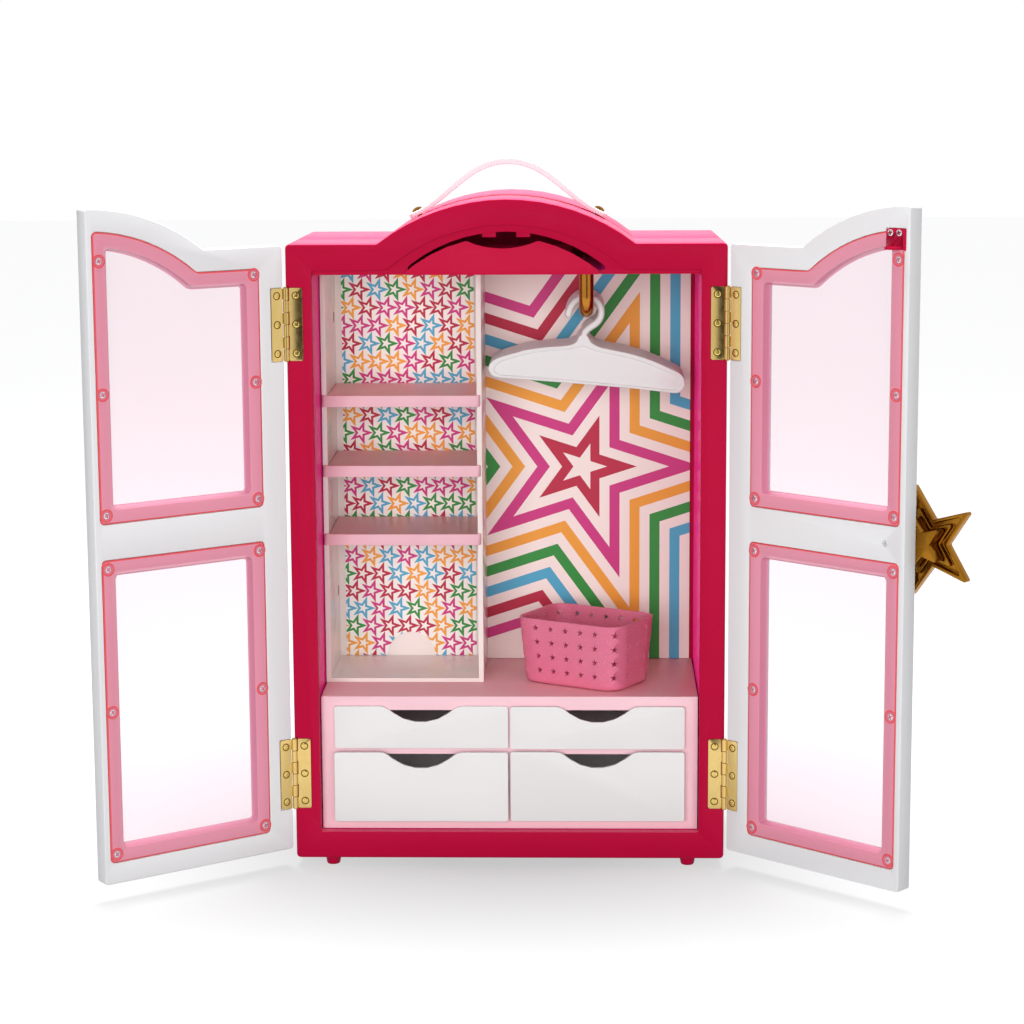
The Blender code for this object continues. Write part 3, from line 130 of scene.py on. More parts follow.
class Finish:
    """A material, with short ways to write its nodes."""

    def __init__(self, name, colour, roughness, specular, metallic=0.0):
        self.made = bpy.data.materials.new(name)
        self.made.use_nodes = True
        self.tree = self.made.node_tree
        self.shader = self.tree.nodes["Principled BSDF"]
        self.put("Base Color", colour)
        self.put("Roughness", roughness)
        self.put("Specular IOR Level", specular)
        self.put("Metallic", metallic)
        self.made.diffuse_color = colour
        self.places = None

    def node(self, kind, inputs=(), **settings):
        return tree_node(self.tree, kind, inputs, **settings)

    def put(self, name, value):
        put(self.tree, self.shader.inputs[name], value)

    def math(self, operation, *values):
        return self.node("Math", enumerate(values), operation=operation).outputs[0]

    def position(self):
        """Where a point is on the piece at rest, in metres."""
        if self.places is None:
            self.places = self.node("TexCoord").outputs["Object"]
        return self.places

    def noise(self, scale, detail=3.0, stretch=EVEN):
        where = self.node("Mapping", {"Vector": self.position(), "Scale": stretch})
        made = self.node("TexNoise", {"Vector": where.outputs[0], "Scale": scale,
                                      "Detail": detail})
        return made.outputs["Fac"]

    def mix(self, share, first, second):
        return self.node("Mix", {"Factor": share, 6: first, 7: second},
                         data_type="RGBA").outputs[2]

    def spread(self, value, low, high, to_low, to_high):
        """A value mapped from one range to another, held at its ends."""
        made = self.node("MapRange", {"Value": value, "From Min": low, "From Max": high,
                                      "To Min": to_low, "To Max": to_high})
        return made.outputs["Result"]

    def vary(self, colour, shade, scale, stretch=EVEN):
        """Drift softly between two colours over the piece."""
        share = self.spread(self.noise(scale, 2.0, stretch), *NOISE_BAND, 0.0, 1.0)
        self.paint(self.mix(share, colour, shade))

    def tops(self, sides, tops, scale, stretch=EVEN):
        """Drift between two colours, with two other colours painted on faces that look up, as
        painted light on the tops.
        """
        share = self.spread(self.noise(scale, 2.0, stretch), *NOISE_BAND, 0.0, 1.0)
        facing = self.node("SeparateXYZ", {
            "Vector": self.node("NewGeometry").outputs["Normal"]}).outputs["Z"]
        self.paint(self.mix(self.spread(facing, 0.5, 0.9, 0.0, 1.0), self.mix(share, *sides),
                            self.mix(share, *tops)))

    def paint(self, colour):
        self.put("Base Color", colour)

    def rough(self, low, high, scale=60.0, stretch=EVEN):
        self.put("Roughness", self.spread(self.noise(scale, 4.0, stretch), *NOISE_BAND, low, high))

    def bump(self, height, strength, distance):
        made = self.node("Bump", {"Height": height, "Strength": strength,
                                  "Distance": distance})
        self.put("Normal", made.outputs[0])

    def flat_place(self, centre_x, centre_z):
        """X and Z on the piece, from a centre."""
        apart = self.node("SeparateXYZ", {"Vector": self.position()})
        return (self.math("SUBTRACT", apart.outputs["X"], centre_x),
                self.math("SUBTRACT", apart.outputs["Z"], centre_z))

    def star_reach(self, across, up):
        """How far out a point is in nested five-pointed stars, as an edge's distance."""
        reaches = []
        for step in range(5):
            turn = math.radians(72) * step
            along = self.math("MULTIPLY", across, math.cos(turn))
            reaches.append(self.math("MULTIPLY_ADD", up, math.sin(turn), along))
        most = self.math("MAXIMUM", reaches[0], reaches[1])
        second = self.math("MINIMUM", reaches[0], reaches[1])
        for reach in reaches[2:]:
            second = self.math("MAXIMUM", second, self.math("MINIMUM", most, reach))
            most = self.math("MAXIMUM", most, reach)
        return second

    def choice(self, index, colours):
        """One of some colours by a whole number from 0."""
        share = self.math("DIVIDE", self.math("ADD", index, 0.5), len(colours))
        ramp = self.node("ValToRGB", {"Fac": share})
        ramp.color_ramp.interpolation = "CONSTANT"
        stops = ramp.color_ramp.elements
        while len(stops) < len(colours):
            stops.new(0.5)
        for place, (stop, colour) in enumerate(zip(stops, colours)):
            stop.position = place / len(colours)
            stop.color = colour
        return ramp.outputs["Color"]


def plastic(name, colour, shade, roughness, specular, tops=None):
    """Moulded plastic: a soft drift of colour, uneven polish and a very fine skin."""
    made = Finish(name, colour, roughness, specular)
    # Top colours, when given, are painted on faces that look up, as painted light on the tops.
    if tops:
        made.tops((colour, shade), tops, DRIFT_SCALE)
    else:
        made.vary(colour, shade, DRIFT_SCALE)
    made.rough(roughness * 0.92, roughness * 1.1)
    made.bump(made.noise(SKIN_GRAIN, 2.0), 0.15, SKIN_DEPTH)
    return made


def metal(name, colour, shade, roughness, stretch=EVEN):
    """Brushed or polished metal, its grain drawn out along an axis by the stretch."""
    made = Finish(name, colour, roughness, 0.5, 1.0)
    made.vary(colour, shade, 40.0, stretch)
    made.rough(roughness * 0.85, roughness * 1.2, 300.0, stretch)
    made.bump(made.noise(600.0, 2.0, stretch), 0.1, 0.00002)
    return made


# Finishes of the cabinet and its furniture
# Faces of the shell that look up are painted a lighter pink: painted light for the strong light
# and sheen on its top.
raspberry = plastic("raspberry", linear(186, 6, 58), linear(180, 5, 54), 0.4, 0.14,
                    (linear(238, 84, 122), linear(232, 78, 116)))
tray_finish = plastic("tray_finish", linear(197, 12, 62), linear(191, 9, 58), 0.38, 0.18)
# Dark red painted shade for the faces inside the tower's slots.
painted_slot_shade = plastic("painted_slot_shade", linear(120, 4, 24), linear(108, 2, 20), 0.5, 0.2)
lining = Finish("lining", linear(205, 14, 96), 0.4, 0.05)
lining.vary(linear(206, 16, 98), linear(196, 10, 88), DRIFT_SCALE)
lining.rough(0.36, 0.44, 20.0)
for name, value in {"Coat Weight": 0.4, "Coat Roughness": 0.03, "Sheen Weight": 1.0,
                    "Sheen Roughness": 0.5, "Sheen Tint": linear(255, 50, 150)}.items():
    lining.put(name, value)
chest_finish = Finish("chest_finish", linear(240, 190, 202), 0.42, 0.3)
# Its faces that look up are painted a redder pink than its sides: painted light for the pink light
# that falls on them inside the cabinet.
chest_finish.tops((linear(250, 208, 217), linear(246, 201, 211)),
                  (linear(255, 202, 208), linear(254, 194, 200)), 30.0, (0.25, 1, 1))
chest_finish.rough(0.38, 0.46, 200.0, (0.2, 1, 1))
chest_finish.bump(chest_finish.noise(400.0, 3.0, (0.1, 1, 1)), 0.12, 0.00003)
shelf_finish = Finish("shelf_finish", linear(242, 186, 198), 0.36, 0.5)
# Faces that look up are painted a redder, warmer pink than the sides: painted light for the light
# that falls on the shelf tops.
shelf_finish.tops((linear(240, 190, 201), linear(236, 184, 196)),
                  (linear(255, 190, 194), linear(252, 181, 185)), 60.0, (1, 0.12, 0.3))
shelf_finish.rough(0.34, 0.4, 30.0)
door_finish = plastic("door_finish", linear(237, 237, 238), linear(234, 234, 236), 0.42, 0.3)
tower_finish = Finish("tower_finish", linear(247, 235, 231), 0.4, 0.2)
tower_finish.vary(linear(243, 231, 227), linear(240, 227, 222), 8.0)
tower_finish.rough(0.36, 0.44, 20.0)
tower_finish.put("Coat Weight", 0.6)
tower_finish.put("Coat Roughness", 0.02)
hanger_finish = plastic("hanger_finish", linear(232, 229, 229), linear(228, 225, 225), 0.3,
                        0.45)
strap_finish = plastic("strap_finish", linear(234, 236, 238), linear(230, 232, 235), 0.42, 0.3)

drawer_finish = Finish("drawer_finish", linear(240, 240, 240), 0.5, 0.3)
drawer_finish.vary(linear(239, 237, 236), linear(235, 233, 232), DRIFT_SCALE)
drawer_finish.rough(0.46, 0.56)
drawer_weave = [drawer_finish.noise(1100.0, 1.0, stretch) for stretch in ((1, 1, 0.1),
                                                                         (0.1, 1, 1))]
drawer_finish.bump(drawer_finish.math("ADD", *drawer_weave), 0.3, 0.00006)

brass = metal("brass", linear(226, 196, 126), linear(222, 190, 119), 0.19)
brass_light = metal("brass_light", linear(238, 212, 120), linear(230, 200, 106), 0.22)
# Dark brass paints shade into the hinge screws' recesses and the rings sunk round them.
brass_recess_shade = metal("brass_recess_shade", linear(120, 76, 26), linear(100, 60, 18), 0.4)
gold = metal("gold", linear(168, 116, 36), linear(152, 102, 28), 0.26)
rod_finish = metal("rod_finish", linear(188, 128, 54), linear(176, 118, 46), 0.2, (1, 0.1, 1))
steel = metal("steel", linear(220, 222, 226), linear(206, 208, 214), 0.25)
# Dark steel paints shade into the cross recesses of the steel screws.
steel_recess_shade = metal("steel_recess_shade", linear(62, 70, 84), linear(48, 56, 70), 0.45)

# The prints, own layouts of plain five-pointed stars
CREAM = linear(250, 236, 231)
PAPER = linear(247, 242, 238)
CRIMSON = linear(186, 52, 76)
MAGENTA = linear(206, 66, 134)
ORANGE = linear(240, 164, 70)
GREEN = linear(60, 146, 70)
BLUE = linear(88, 172, 206)
COLOURS = (CRIMSON, MAGENTA, ORANGE, GREEN, BLUE)
ECHO_CENTRE = (0.0544, 0.2741)
ECHO_START = 0.0051
ECHO_PITCH = 0.0156
ECHO_SHARE = 0.505
ECHO_CORE = 0.00585
ECHO_BANDS = 7
CARD_COLUMN = 0.0138
CARD_ROW = 0.0139
CARD_START = (-0.1387, 0.4265)
CARD_OUTER = 0.00308
CARD_INNER = 0.00137


def print_base(name, paper):
    """Smooth printed card, still without its print."""
    made = Finish(name, paper, 0.38, 0.35)
    made.rough(0.35, 0.42, 30.0)
    made.bump(made.noise(500.0, 2.0), 0.08, 0.00002)
    return made


def echo_print():
    """Nested stars in bands of colour, round one small pale star."""
    made = print_base("panel_print", CREAM)
    reach = made.star_reach(*made.flat_place(*ECHO_CENTRE))
    steps = made.math("DIVIDE", made.math("SUBTRACT", reach, ECHO_START), ECHO_PITCH)
    band = made.math("FLOOR", steps)
    inside = made.math("LESS_THAN", made.math("FRACT", steps), ECHO_SHARE)
    inside = made.math("MULTIPLY", inside, made.math("GREATER_THAN", reach, ECHO_CORE))
    inside = made.math("MULTIPLY", inside, made.math("LESS_THAN", steps, ECHO_BANDS))
    colour = made.choice(made.math("FLOORED_MODULO", band, 5.0), COLOURS)
    made.paint(made.mix(inside, CREAM, colour))
    return made


def card_print():
    """Rows of small outlined stars in mixed colours, every other row half a step over."""
    made = print_base("card_print", PAPER)
    shown = PAPER
    for shift in range(4):
        column, row = shift % 2, shift // 2
        across, up = made.flat_place(CARD_START[0] + CARD_COLUMN * (column + row / 2),
                                     CARD_START[1] + CARD_ROW * row)
        cells, places = [], []
        for value, pitch in ((across, 2 * CARD_COLUMN), (up, 2 * CARD_ROW)):
            steps = made.math("DIVIDE", value, pitch)
            cell = made.math("ROUND", steps)
            cells.append(cell)
            places.append(made.math("MULTIPLY", made.math("SUBTRACT", steps, cell), pitch))
        reach = made.star_reach(*places)
        inside = made.math("LESS_THAN", reach, CARD_OUTER)
        stroke = made.math("GREATER_THAN", reach, CARD_INNER)
        where = made.node("CombineXYZ", {"X": cells[0], "Y": cells[1], "Z": 3.7 * shift + 1.3})
        chance = made.node("TexWhiteNoise", {"Vector": where.outputs[0]}).outputs["Value"]
        picked = made.math("FLOOR", made.math("MULTIPLY", chance, 5.0))
        star = made.mix(stroke, PAPER, made.choice(picked, COLOURS))
        shown = made.mix(inside, shown, star)
    made.paint(shown)
    return made


def clear_plastic(name, colour, shade, alpha, roughness=0.2):
    """Tinted see-through plastic."""
    made = plastic(name, colour, shade, roughness, 0.5)
    made.put("Alpha", alpha)
    made.made.surface_render_method = "BLENDED"
    return made


pane_finish = clear_plastic("pane_finish", linear(255, 168, 208), linear(252, 162, 203), 0.12)
flange_finish = clear_plastic("flange_finish", linear(244, 158, 180), linear(240, 151, 174),
                              0.86)
edge_finish = clear_plastic("edge_finish", linear(244, 92, 98), linear(240, 84, 92), 0.88)
# The step walls of the window inserts are painted a darker mauve than the flange, as painted shade
# on those walls.
step_painted_shade = clear_plastic("step_painted_shade", linear(226, 140, 168), linear(221, 132, 161), 0.84)
boss_finish = clear_plastic("boss_finish", linear(244, 128, 150), linear(240, 120, 144), 0.72)
BASKET_PINKS = (linear(240, 134, 164), linear(234, 118, 152))
basket_finish = clear_plastic("basket_finish", *BASKET_PINKS, 0.84, 0.32)
speck = basket_finish.node("TexVoronoi", {"Vector": basket_finish.position(), "Scale": 520.0})
glint = basket_finish.math("LESS_THAN", speck.outputs["Distance"], 0.15)
basket_body = basket_finish.mix(basket_finish.noise(40.0), *BASKET_PINKS)
basket_finish.paint(basket_finish.mix(basket_finish.math("MULTIPLY", glint, 0.5), basket_body,
                                      linear(255, 205, 190)))


def added(name, data):
    """A new object, added to the scene."""
    made = bpy.data.objects.new(name, data)
    scene.collection.objects.link(made)
    return made


def link(name, mesh, body, finishes):
    """A shown piece from a mesh, on its body, in its finishes."""
    for finish in finishes:
        mesh.materials.append(finish.made)
    piece = added(name, mesh)
    mesh.shade_smooth()
    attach(piece, body)
    return piece


def soften(piece, width, segments):
    """Rounded edges where faces meet at more than a low angle."""
    bevel = piece.modifiers.new("Soft edges", "BEVEL")
    bevel.limit_method = "ANGLE"
    bevel.angle_limit = SOFT_ANGLE
    bevel.width = width
    bevel.segments = segments
    bevel.use_clamp_overlap = True
    bevel.harden_normals = True


def finished(bm, name):
    """A mesh with its faces turned outwards."""
    bmesh.ops.recalc_face_normals(bm, faces=bm.faces)
    mesh = bpy.data.meshes.new(name)
    bm.to_mesh(mesh)
    bm.free()
    return mesh


def node_mesh(name):
    """A node's mesh, welded and with its flat faces whole again."""
    bm = bmesh.new()
    bm.from_mesh(nodes[name].data)
    bmesh.ops.remove_doubles(bm, verts=bm.verts[:], dist=1e-6)
    bmesh.ops.dissolve_limit(bm, angle_limit=FLAT_ANGLE, verts=bm.verts[:],
                             edges=bm.edges[:])
    mesh = bpy.data.meshes.new(name + "_soft")
    bm.to_mesh(mesh)
    bm.free()
    return mesh


def dressed(name, finish, width, segments=2):
    """A node's shape with soft edges, which stands for the node."""
    body = body_of(nodes[name])[0]
    piece = link(name + "_soft", node_mesh(name), body, [finish])
    soften(piece, width, segments)
    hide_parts(name)


def stand_for(name, mesh, finishes, sharp=SHARP_ANGLE):
    """An own mesh that stands for a node."""
    piece = link(name + "_soft", mesh, body_of(nodes[name])[0], finishes)
    mesh.set_sharp_from_angle(angle=math.radians(sharp))
    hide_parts(name)


def paint_node(name, finish):
    """A node that is shown as it is, in a finish."""
    piece = nodes[name]
    piece.data.materials.clear()
    piece.data.materials.append(finish.made)


soft_finishes = {
    "front_frame": (raspberry, 0.0005), "rear_shell": (raspberry, 0.0005),
    "top_tray": (tray_finish, 0.0006), "shelf_tower": (tower_finish, 0.0004),
    "drawer_chest": (chest_finish, 0.0005), "star_latch": (gold, 0.0005),
    "star_hub": (gold, 0.0005)}
for name in nodes:
    if name in soft_finishes:
        dressed(name, *soft_finishes[name])
    elif name.startswith("shelf_"):
        dressed(name, shelf_finish, 0.0007, 3)
    elif name.startswith("drawer_"):
        dressed(name, drawer_finish, 0.0005)
    elif name.startswith("foot_"):
        dressed(name, raspberry, 0.0006)
    elif name.endswith("_door_frame"):
        dressed(name, door_finish, 0.0007, 3)
paint_node("inner_liner", lining)
paint_node("right_back_panel", echo_print())
paint_node("tower_backing", card_print())

# The slot faces in the tower's sides are painted dark red, as painted shade in the slots
tower = bpy.data.objects["shelf_tower_soft"].data
tower.materials.append(painted_slot_shade.made)
for face in tower.polygons:
    spot = face.center
    in_wall = spot.x < SLOT_WALLS[0] or spot.x > SLOT_WALLS[1]
    if SLOT_DEPTHS[0] < spot.y < SLOT_DEPTHS[1] and abs(face.normal.x) < 0.5 and in_wall:
        face.material_index = 1


# Helpers for own meshes
def from_curve(curve):
    """The mesh of a curve."""
    helper = added("curve", curve)
    bpy.context.view_layer.update()
    mesh = bpy.data.meshes.new_from_object(helper)
    bpy.data.objects.remove(helper, do_unlink=True)
    bm = bmesh.new()
    bm.from_mesh(mesh)
    bmesh.ops.remove_doubles(bm, verts=bm.verts[:], dist=1e-7)
    return finished(bm, "from_curve")


def add_line(curve, places, closed):
    """A line of straight steps on a curve."""
    spline = curve.splines.new("POLY")
    spline.points.add(len(places) - 1)
    spline.use_cyclic_u = closed
    for point, place in zip(spline.points, places):
        point.co = (*Vector(place).to_3d(), 1)


def plate(outlines, low, high, soft, inset=0.0):
    """A plate in X and Y from outlines, the later ones holes, with rounded edges."""
    curve = bpy.data.curves.new("plate", "CURVE")
    curve.dimensions = "2D"
    curve.fill_mode = "BOTH"
    curve.extrude = (high - low) / 2 - soft
    curve.bevel_depth = soft
    curve.bevel_resolution = 2
    curve.offset = -soft - inset
    for outline in outlines:
        add_line(curve, outline, True)
    mesh = from_curve(curve)
    mesh.transform(Matrix.Translation((0, 0, (low + high) / 2)))
    return mesh


def tube(route, radius, resolution=5):
    """A smooth round tube along points."""
    curve = bpy.data.curves.new("tube", "CURVE")
    curve.dimensions = "3D"
    curve.bevel_depth = radius
    curve.bevel_resolution = resolution
    curve.use_fill_caps = True
    add_line(curve, route, False)
    return from_curve(curve)


def smoothed(points, closed=True):
    """Points of a smooth line through some points."""
    count = len(points)
    out = []
    for index in range(count if closed else count - 1):
        knots = []
        for place in range(index - 1, index + 3):
            place = place % count if closed else min(max(place, 0), count - 1)
            knots.append(Vector(points[place]))
        before, here, after, later = knots
        for step in range(SMOOTH_STEPS):
            t = step / SMOOTH_STEPS
            out.append(0.5 * (2 * here + (after - before) * t
                              + (2 * before - 5 * here + 4 * after - later) * t * t
                              + (3 * here - before - 3 * after + later) * t * t * t))
    if not closed:
        out.append(Vector(points[-1]))
    return out


def rounded_box(low, high, radius, steps=5):
    """The outline of a rectangle with round corners."""
    out = []
    corners = ((high[0] - radius, high[1] - radius, 0), (low[0] + radius, high[1] - radius, 90),
               (low[0] + radius, low[1] + radius, 180), (high[0] - radius, low[1] + radius, 270))
    for x, y, first in corners:
        for step in range(steps + 1):
            turn = math.radians(first + 90 * step / steps)
            out.append((x + radius * math.cos(turn), y + radius * math.sin(turn)))
    return out


def loop_faces(bm, one, other, index=0):
    """The faces between two closed rows of vertices, in a material."""
    for step in range(len(one)):
        after = (step + 1) % len(one)
        face = bm.faces.new((one[step], one[after], other[after], other[step]))
        face.material_index = index


def turned(profile, sides=28):
    """A mesh turned about Z from a profile of (radius, height), top first."""
    bm = bmesh.new()
    rings = []
    for radius, height in profile:
        if radius < 1e-7:
            rings.append([bm.verts.new((0, 0, height))])
            continue
        rings.append([bm.verts.new((radius * math.cos(2 * math.pi * step / sides),
                                    radius * math.sin(2 * math.pi * step / sides), height))
                      for step in range(sides)])
    for upper, lower in zip(rings, rings[1:]):
        for step in range(sides):
            after = (step + 1) % sides
            corners = dict.fromkeys((upper[step % len(upper)], lower[step % len(lower)],
                                     lower[after % len(lower)], upper[after % len(upper)]))
            bm.faces.new(list(corners))
    bmesh.ops.remove_doubles(bm, verts=bm.verts[:], dist=1e-8)
    return finished(bm, "turned")


def carved(mesh, *tools):
    """A mesh with other meshes cut out of it."""
    piece = added("carved", mesh)
    helpers = [piece]
    for tool in tools:
        helper = added("tool", tool)
        helpers.append(helper)
        cut = piece.modifiers.new("Cut", "BOOLEAN")
        cut.object = helper
        cut.solver = "EXACT"
    bpy.context.view_layer.update()
    seen = piece.evaluated_get(bpy.context.evaluated_depsgraph_get())
    made = bpy.data.meshes.new_from_object(seen)
    for helper in helpers:
        bpy.data.objects.remove(helper, do_unlink=True)
    return made


def cross_bars(width, length, top, bottom, turn):
    """Tools for the two bars of a cross recess."""
    bars = []
    for quarter in (0, math.pi / 2):
        bm = bmesh.new()
        place = Matrix.Rotation(turn + quarter, 4, "Z") @ Matrix.Translation(
            (0, 0, (top + bottom) / 2))
        bmesh.ops.create_cube(bm, size=1.0, matrix=place
                              @ Matrix.Diagonal((length, width, top - bottom, 1)))
        bars.append(finished(bm, "bar"))
    return bars


def joined(name, parts):
    """One mesh of several, each put in its place."""
    bm = bmesh.new()
    for mesh, place in parts:
        copy = mesh.copy()
        copy.transform(place)
        bm.from_mesh(copy)
        bpy.data.meshes.remove(copy)
    return finished(bm, name)


def gathered(name, mesh, places, body, finishes):
    """One piece of many copies of a mesh."""
    whole = joined(name, [(mesh, place) for place in places])
    link(name, whole, body, finishes)
    whole.set_sharp_from_angle(angle=math.radians(SHARP_ANGLE))


HEAD_SHARES = ((0, 1), (0.5, 1), (0.84, 0.7), (1, 0.15))  # of a head's radius and rise
CROSS_WIDE_SHARE, CROSS_LONG_SHARE = 0.46, 1.4
RECESS_SHARES = (0.76, 0.9, 0.68)  # of the radius, the skirt and the rise


def screw_head(radius, rise, turn, skirt):
    """A low cross-head screw; the faces of its recess take the second material, a dark one that
    paints shade into the recess.
    """
    profile = [(radius * out, rise * up) for out, up in HEAD_SHARES]
    bars = cross_bars(radius * CROSS_WIDE_SHARE, radius * CROSS_LONG_SHARE, rise * 2,
                      -skirt / 2, turn)
    reach, under, over = RECESS_SHARES
    mesh = carved(turned(profile + [(radius, -skirt), (0, -skirt)]), *bars)
    for face in mesh.polygons:
        spot = face.center
        near = math.hypot(spot.x, spot.y) < radius * reach
        face.material_index = int(near and -skirt * under < spot.z < rise * over)
    return mesh


def door_place(hand):
    """The matrix of a door at rest, about its hinge axis."""
    side, turn = DOORS[hand]
    return Matrix.Translation((side * HALF_WIDTH, HINGE_Y, 0)) @ Matrix.Rotation(
        side * turn, 4, "Z")


def on_door(hand, along, depth, height):
    """A point of a door at rest, from its hinge, its inner face and the floor line."""
    side = DOORS[hand][0]
    return door_place(hand) @ Matrix.Translation((-side * along, INNER_FACE - depth, height))


# Window inserts: a stepped tray of clear plastic in each window
INSERT_NEAR, INSERT_FAR = 0.0216, 0.1529
INSERT_LEVELS = {"lower": (0.0233, 0.2423), "upper": (0.2681, 0.4402)}
ARCH_ALONG, ARCH_HEIGHT, ARCH_RADIUS = 0.159, 0.3371, 0.135
VALLEY_SOFT = 0.004
ARCH_STEPS = 24


def bend(start, middle, end):
    """The points between the ends of a smooth bend round a corner."""
    out = []
    for step in range(1, BEND_STEPS):
        t = step / BEND_STEPS
        out.append(tuple(a * (1 - t) ** 2 + 2 * b * t * (1 - t) + c * t * t
                         for a, b, c in zip(start, middle, end)))
    return out


def insert_outline(level, inset, corner):
    """An outline of an insert in (along, height), moved inwards."""
    low, high = INSERT_LEVELS[level]
    near, far = INSERT_NEAR + inset, INSERT_FAR - inset
    low, high = low + inset, high - inset
    if level == "lower":
        return rounded_box((near, low), (far, high), corner, 4)
    radius = ARCH_RADIUS - inset
    valley = ARCH_ALONG - math.sqrt(radius ** 2 - (high - ARCH_HEIGHT) ** 2)
    top = ARCH_HEIGHT + math.sqrt(radius ** 2 - (far - ARCH_ALONG) ** 2)
    first = math.atan2(top - ARCH_HEIGHT, far - ARCH_ALONG) + corner / radius
    last = math.atan2(high - ARCH_HEIGHT, valley - ARCH_ALONG) - VALLEY_SOFT / radius
    arch = []
    for step in range(ARCH_STEPS + 1):
        turn = first + (last - first) * step / ARCH_STEPS
        arch.append((ARCH_ALONG + radius * math.cos(turn),
                     ARCH_HEIGHT + radius * math.sin(turn)))
    out = [(far, top - corner)]
    out += bend(out[-1], (far, top), arch[0]) + arch
    out += bend(out[-1], (valley, high), (valley - VALLEY_SOFT, high))
    out.append((valley - VALLEY_SOFT, high))
    for spot, start, end in (((near, high), (near + corner, high), (near, high - corner)),
                             ((near, low), (near, low + corner), (near + corner, low)),
                             ((far, low), (far - corner, low), (far, low + corner))):
        out += [start] + bend(start, spot, end) + [end]
    return out


INSERT_RINGS = (  # inset, corner radius, depth and the material of the strip after it
    (0.0003, 0.0030, 0.0020, 2), (0.0000, 0.0033, 0.0015, 2), (0.0000, 0.0033, 0.0005, 2),
    (0.0003, 0.0030, 0.0001, 2), (0.0011, 0.0026, 0.0000, 0), (0.0097, 0.0044, 0.0000, 0),
    (0.0102, 0.0040, 0.0003, 3), (0.0105, 0.0037, 0.0010, 3), (0.0111, 0.0032, 0.0056, 3),
    (0.0116, 0.0027, 0.0061, 3), (0.0123, 0.0022, 0.0063, 1), (0.0100, 0.0042, 0.0080, 3),
    (0.0094, 0.0046, 0.0074, 3), (0.0090, 0.0048, 0.0020, 0))
PANE_RING = 10


def make_insert(hand, level):
    """A window insert as rings of faces, with the pane across its middle."""
    side = DOORS[hand][0]
    bm = bmesh.new()
    loops = [[bm.verts.new((-side * along, INNER_FACE - depth, height))
              for along, height in insert_outline(level, inset, corner)]
             for inset, corner, depth, _ in INSERT_RINGS]
    for place, (one, other) in enumerate(zip(loops, loops[1:] + loops[:1])):
        if place != PANE_RING:
            loop_faces(bm, one, other, INSERT_RINGS[place][3])
            continue
        for loop in (one, other):
            bm.faces.new(loop).material_index = 1
    name = hand + "_" + level + "_window_insert"
    mesh = finished(bm, name)
    mesh.transform(door_place(hand))
    stand_for(name, mesh, [flange_finish, pane_finish, edge_finish, step_painted_shade], 50)


for hand in DOORS:
    for level in INSERT_LEVELS:
        make_insert(hand, level)

# Screws of the windows, with the tinted bosses that they sit on
SCREW_INSET = 0.0045
SCREW_NEAR, SCREW_FAR = INSERT_NEAR + SCREW_INSET, INSERT_FAR - SCREW_INSET
LOWER_HEIGHTS = (0.0296, 0.1333, 0.2361)
WINDOW_SCREWS = {
    "upper": {SCREW_NEAR: (0.2743, 0.3592, 0.4363), SCREW_FAR: (0.2743, 0.3592, 0.4517)},
    "lower": {SCREW_NEAR: LOWER_HEIGHTS, SCREW_FAR: LOWER_HEIGHTS}}
BOSS_INNER, BOSS_RADIUS, BOSS_EASE = 0.0036, 0.0048, 0.0003
BOSS_FACE, BOSS_RIM, BOSS_SUNK = 0.00015, 0.0004, 0.0012
window_screw = screw_head(radius=0.0024, rise=0.0004, turn=0.5, skirt=0.0004)
boss_disc = turned([(0, BOSS_FACE), (BOSS_INNER, BOSS_FACE),
                    (BOSS_INNER + BOSS_EASE, BOSS_RIM), (BOSS_RADIUS - BOSS_EASE, BOSS_RIM),
                    (BOSS_RADIUS, BOSS_FACE), (BOSS_RADIUS, -BOSS_SUNK), (0, -BOSS_SUNK)])
for face in boss_disc.polygons:
    face.material_index = int(math.hypot(face.center.x, face.center.y) > BOSS_INNER)
for hand in DOORS:
    for level, columns in WINDOW_SCREWS.items():
        heads = [on_door(hand, along, -HEAD_PROUD, height) @ FACE_UP
                 for along, heights in columns.items() for height in heights]
        label = hand + "_" + level + "_window_"
        gathered(label + "bosses", boss_disc, heads, hand + "_door",
                 [boss_finish, edge_finish])
        gathered(label + "screws", window_screw, heads, hand + "_door",
                 [steel, steel_recess_shade])

# Hinges: two leaves, six barrels in turn and a pin with low heads
LEAF_START, LEAF_END, LEAF_THICK, TOOTH = 0.0025, 0.0119, 0.0011, 0.0017
HINGE_HALF = 0.0264
BARREL_RADIUS, BARREL_BORE, BARREL_COUNT, BARREL_GAP = 0.0021, 0.00125, 6, 0.00022
LEAF_SCREW_ALONG, LEAF_SCREW_RISE = 0.0072, 0.0209
LEAF_CORNER, LEAF_SOFT, TOOTH_EASE, BARREL_EASE = 0.0016, 0.00012, 0.0004, 0.0002
PIN_END = (  # radius, and height over the end of the hinge
    (0, 0.0009), (0.0012, 0.0008), (0.0018, 0.0003), (0.0018, 0), (0.0011, -0.0001))
SINK_INNER, SINK_LIP, SINK_OUTER = 0.0021, 0.0023, 0.0029
SINK_DIP, SINK_RISE, SINK_DEPTH = 0.00005, 0.00006, 0.0003
barrel_end = HINGE_HALF / BARREL_COUNT - BARREL_GAP / 2
eased_end, eased_radius = barrel_end - BARREL_EASE, BARREL_RADIUS - BARREL_EASE
barrel = turned([(BARREL_BORE, barrel_end), (eased_radius, barrel_end),
                 (BARREL_RADIUS, eased_end), (BARREL_RADIUS, -eased_end),
                 (eased_radius, -barrel_end), (BARREL_BORE, -barrel_end),
                 (BARREL_BORE, barrel_end)])
pin_mesh = turned([(radius, HINGE_HALF + rise) for radius, rise in PIN_END]
                  + [(radius, -HINGE_HALF - rise) for radius, rise in reversed(PIN_END)])
hinge_screw = screw_head(radius=0.0022, rise=0.00027, turn=0.7, skirt=0.0003)
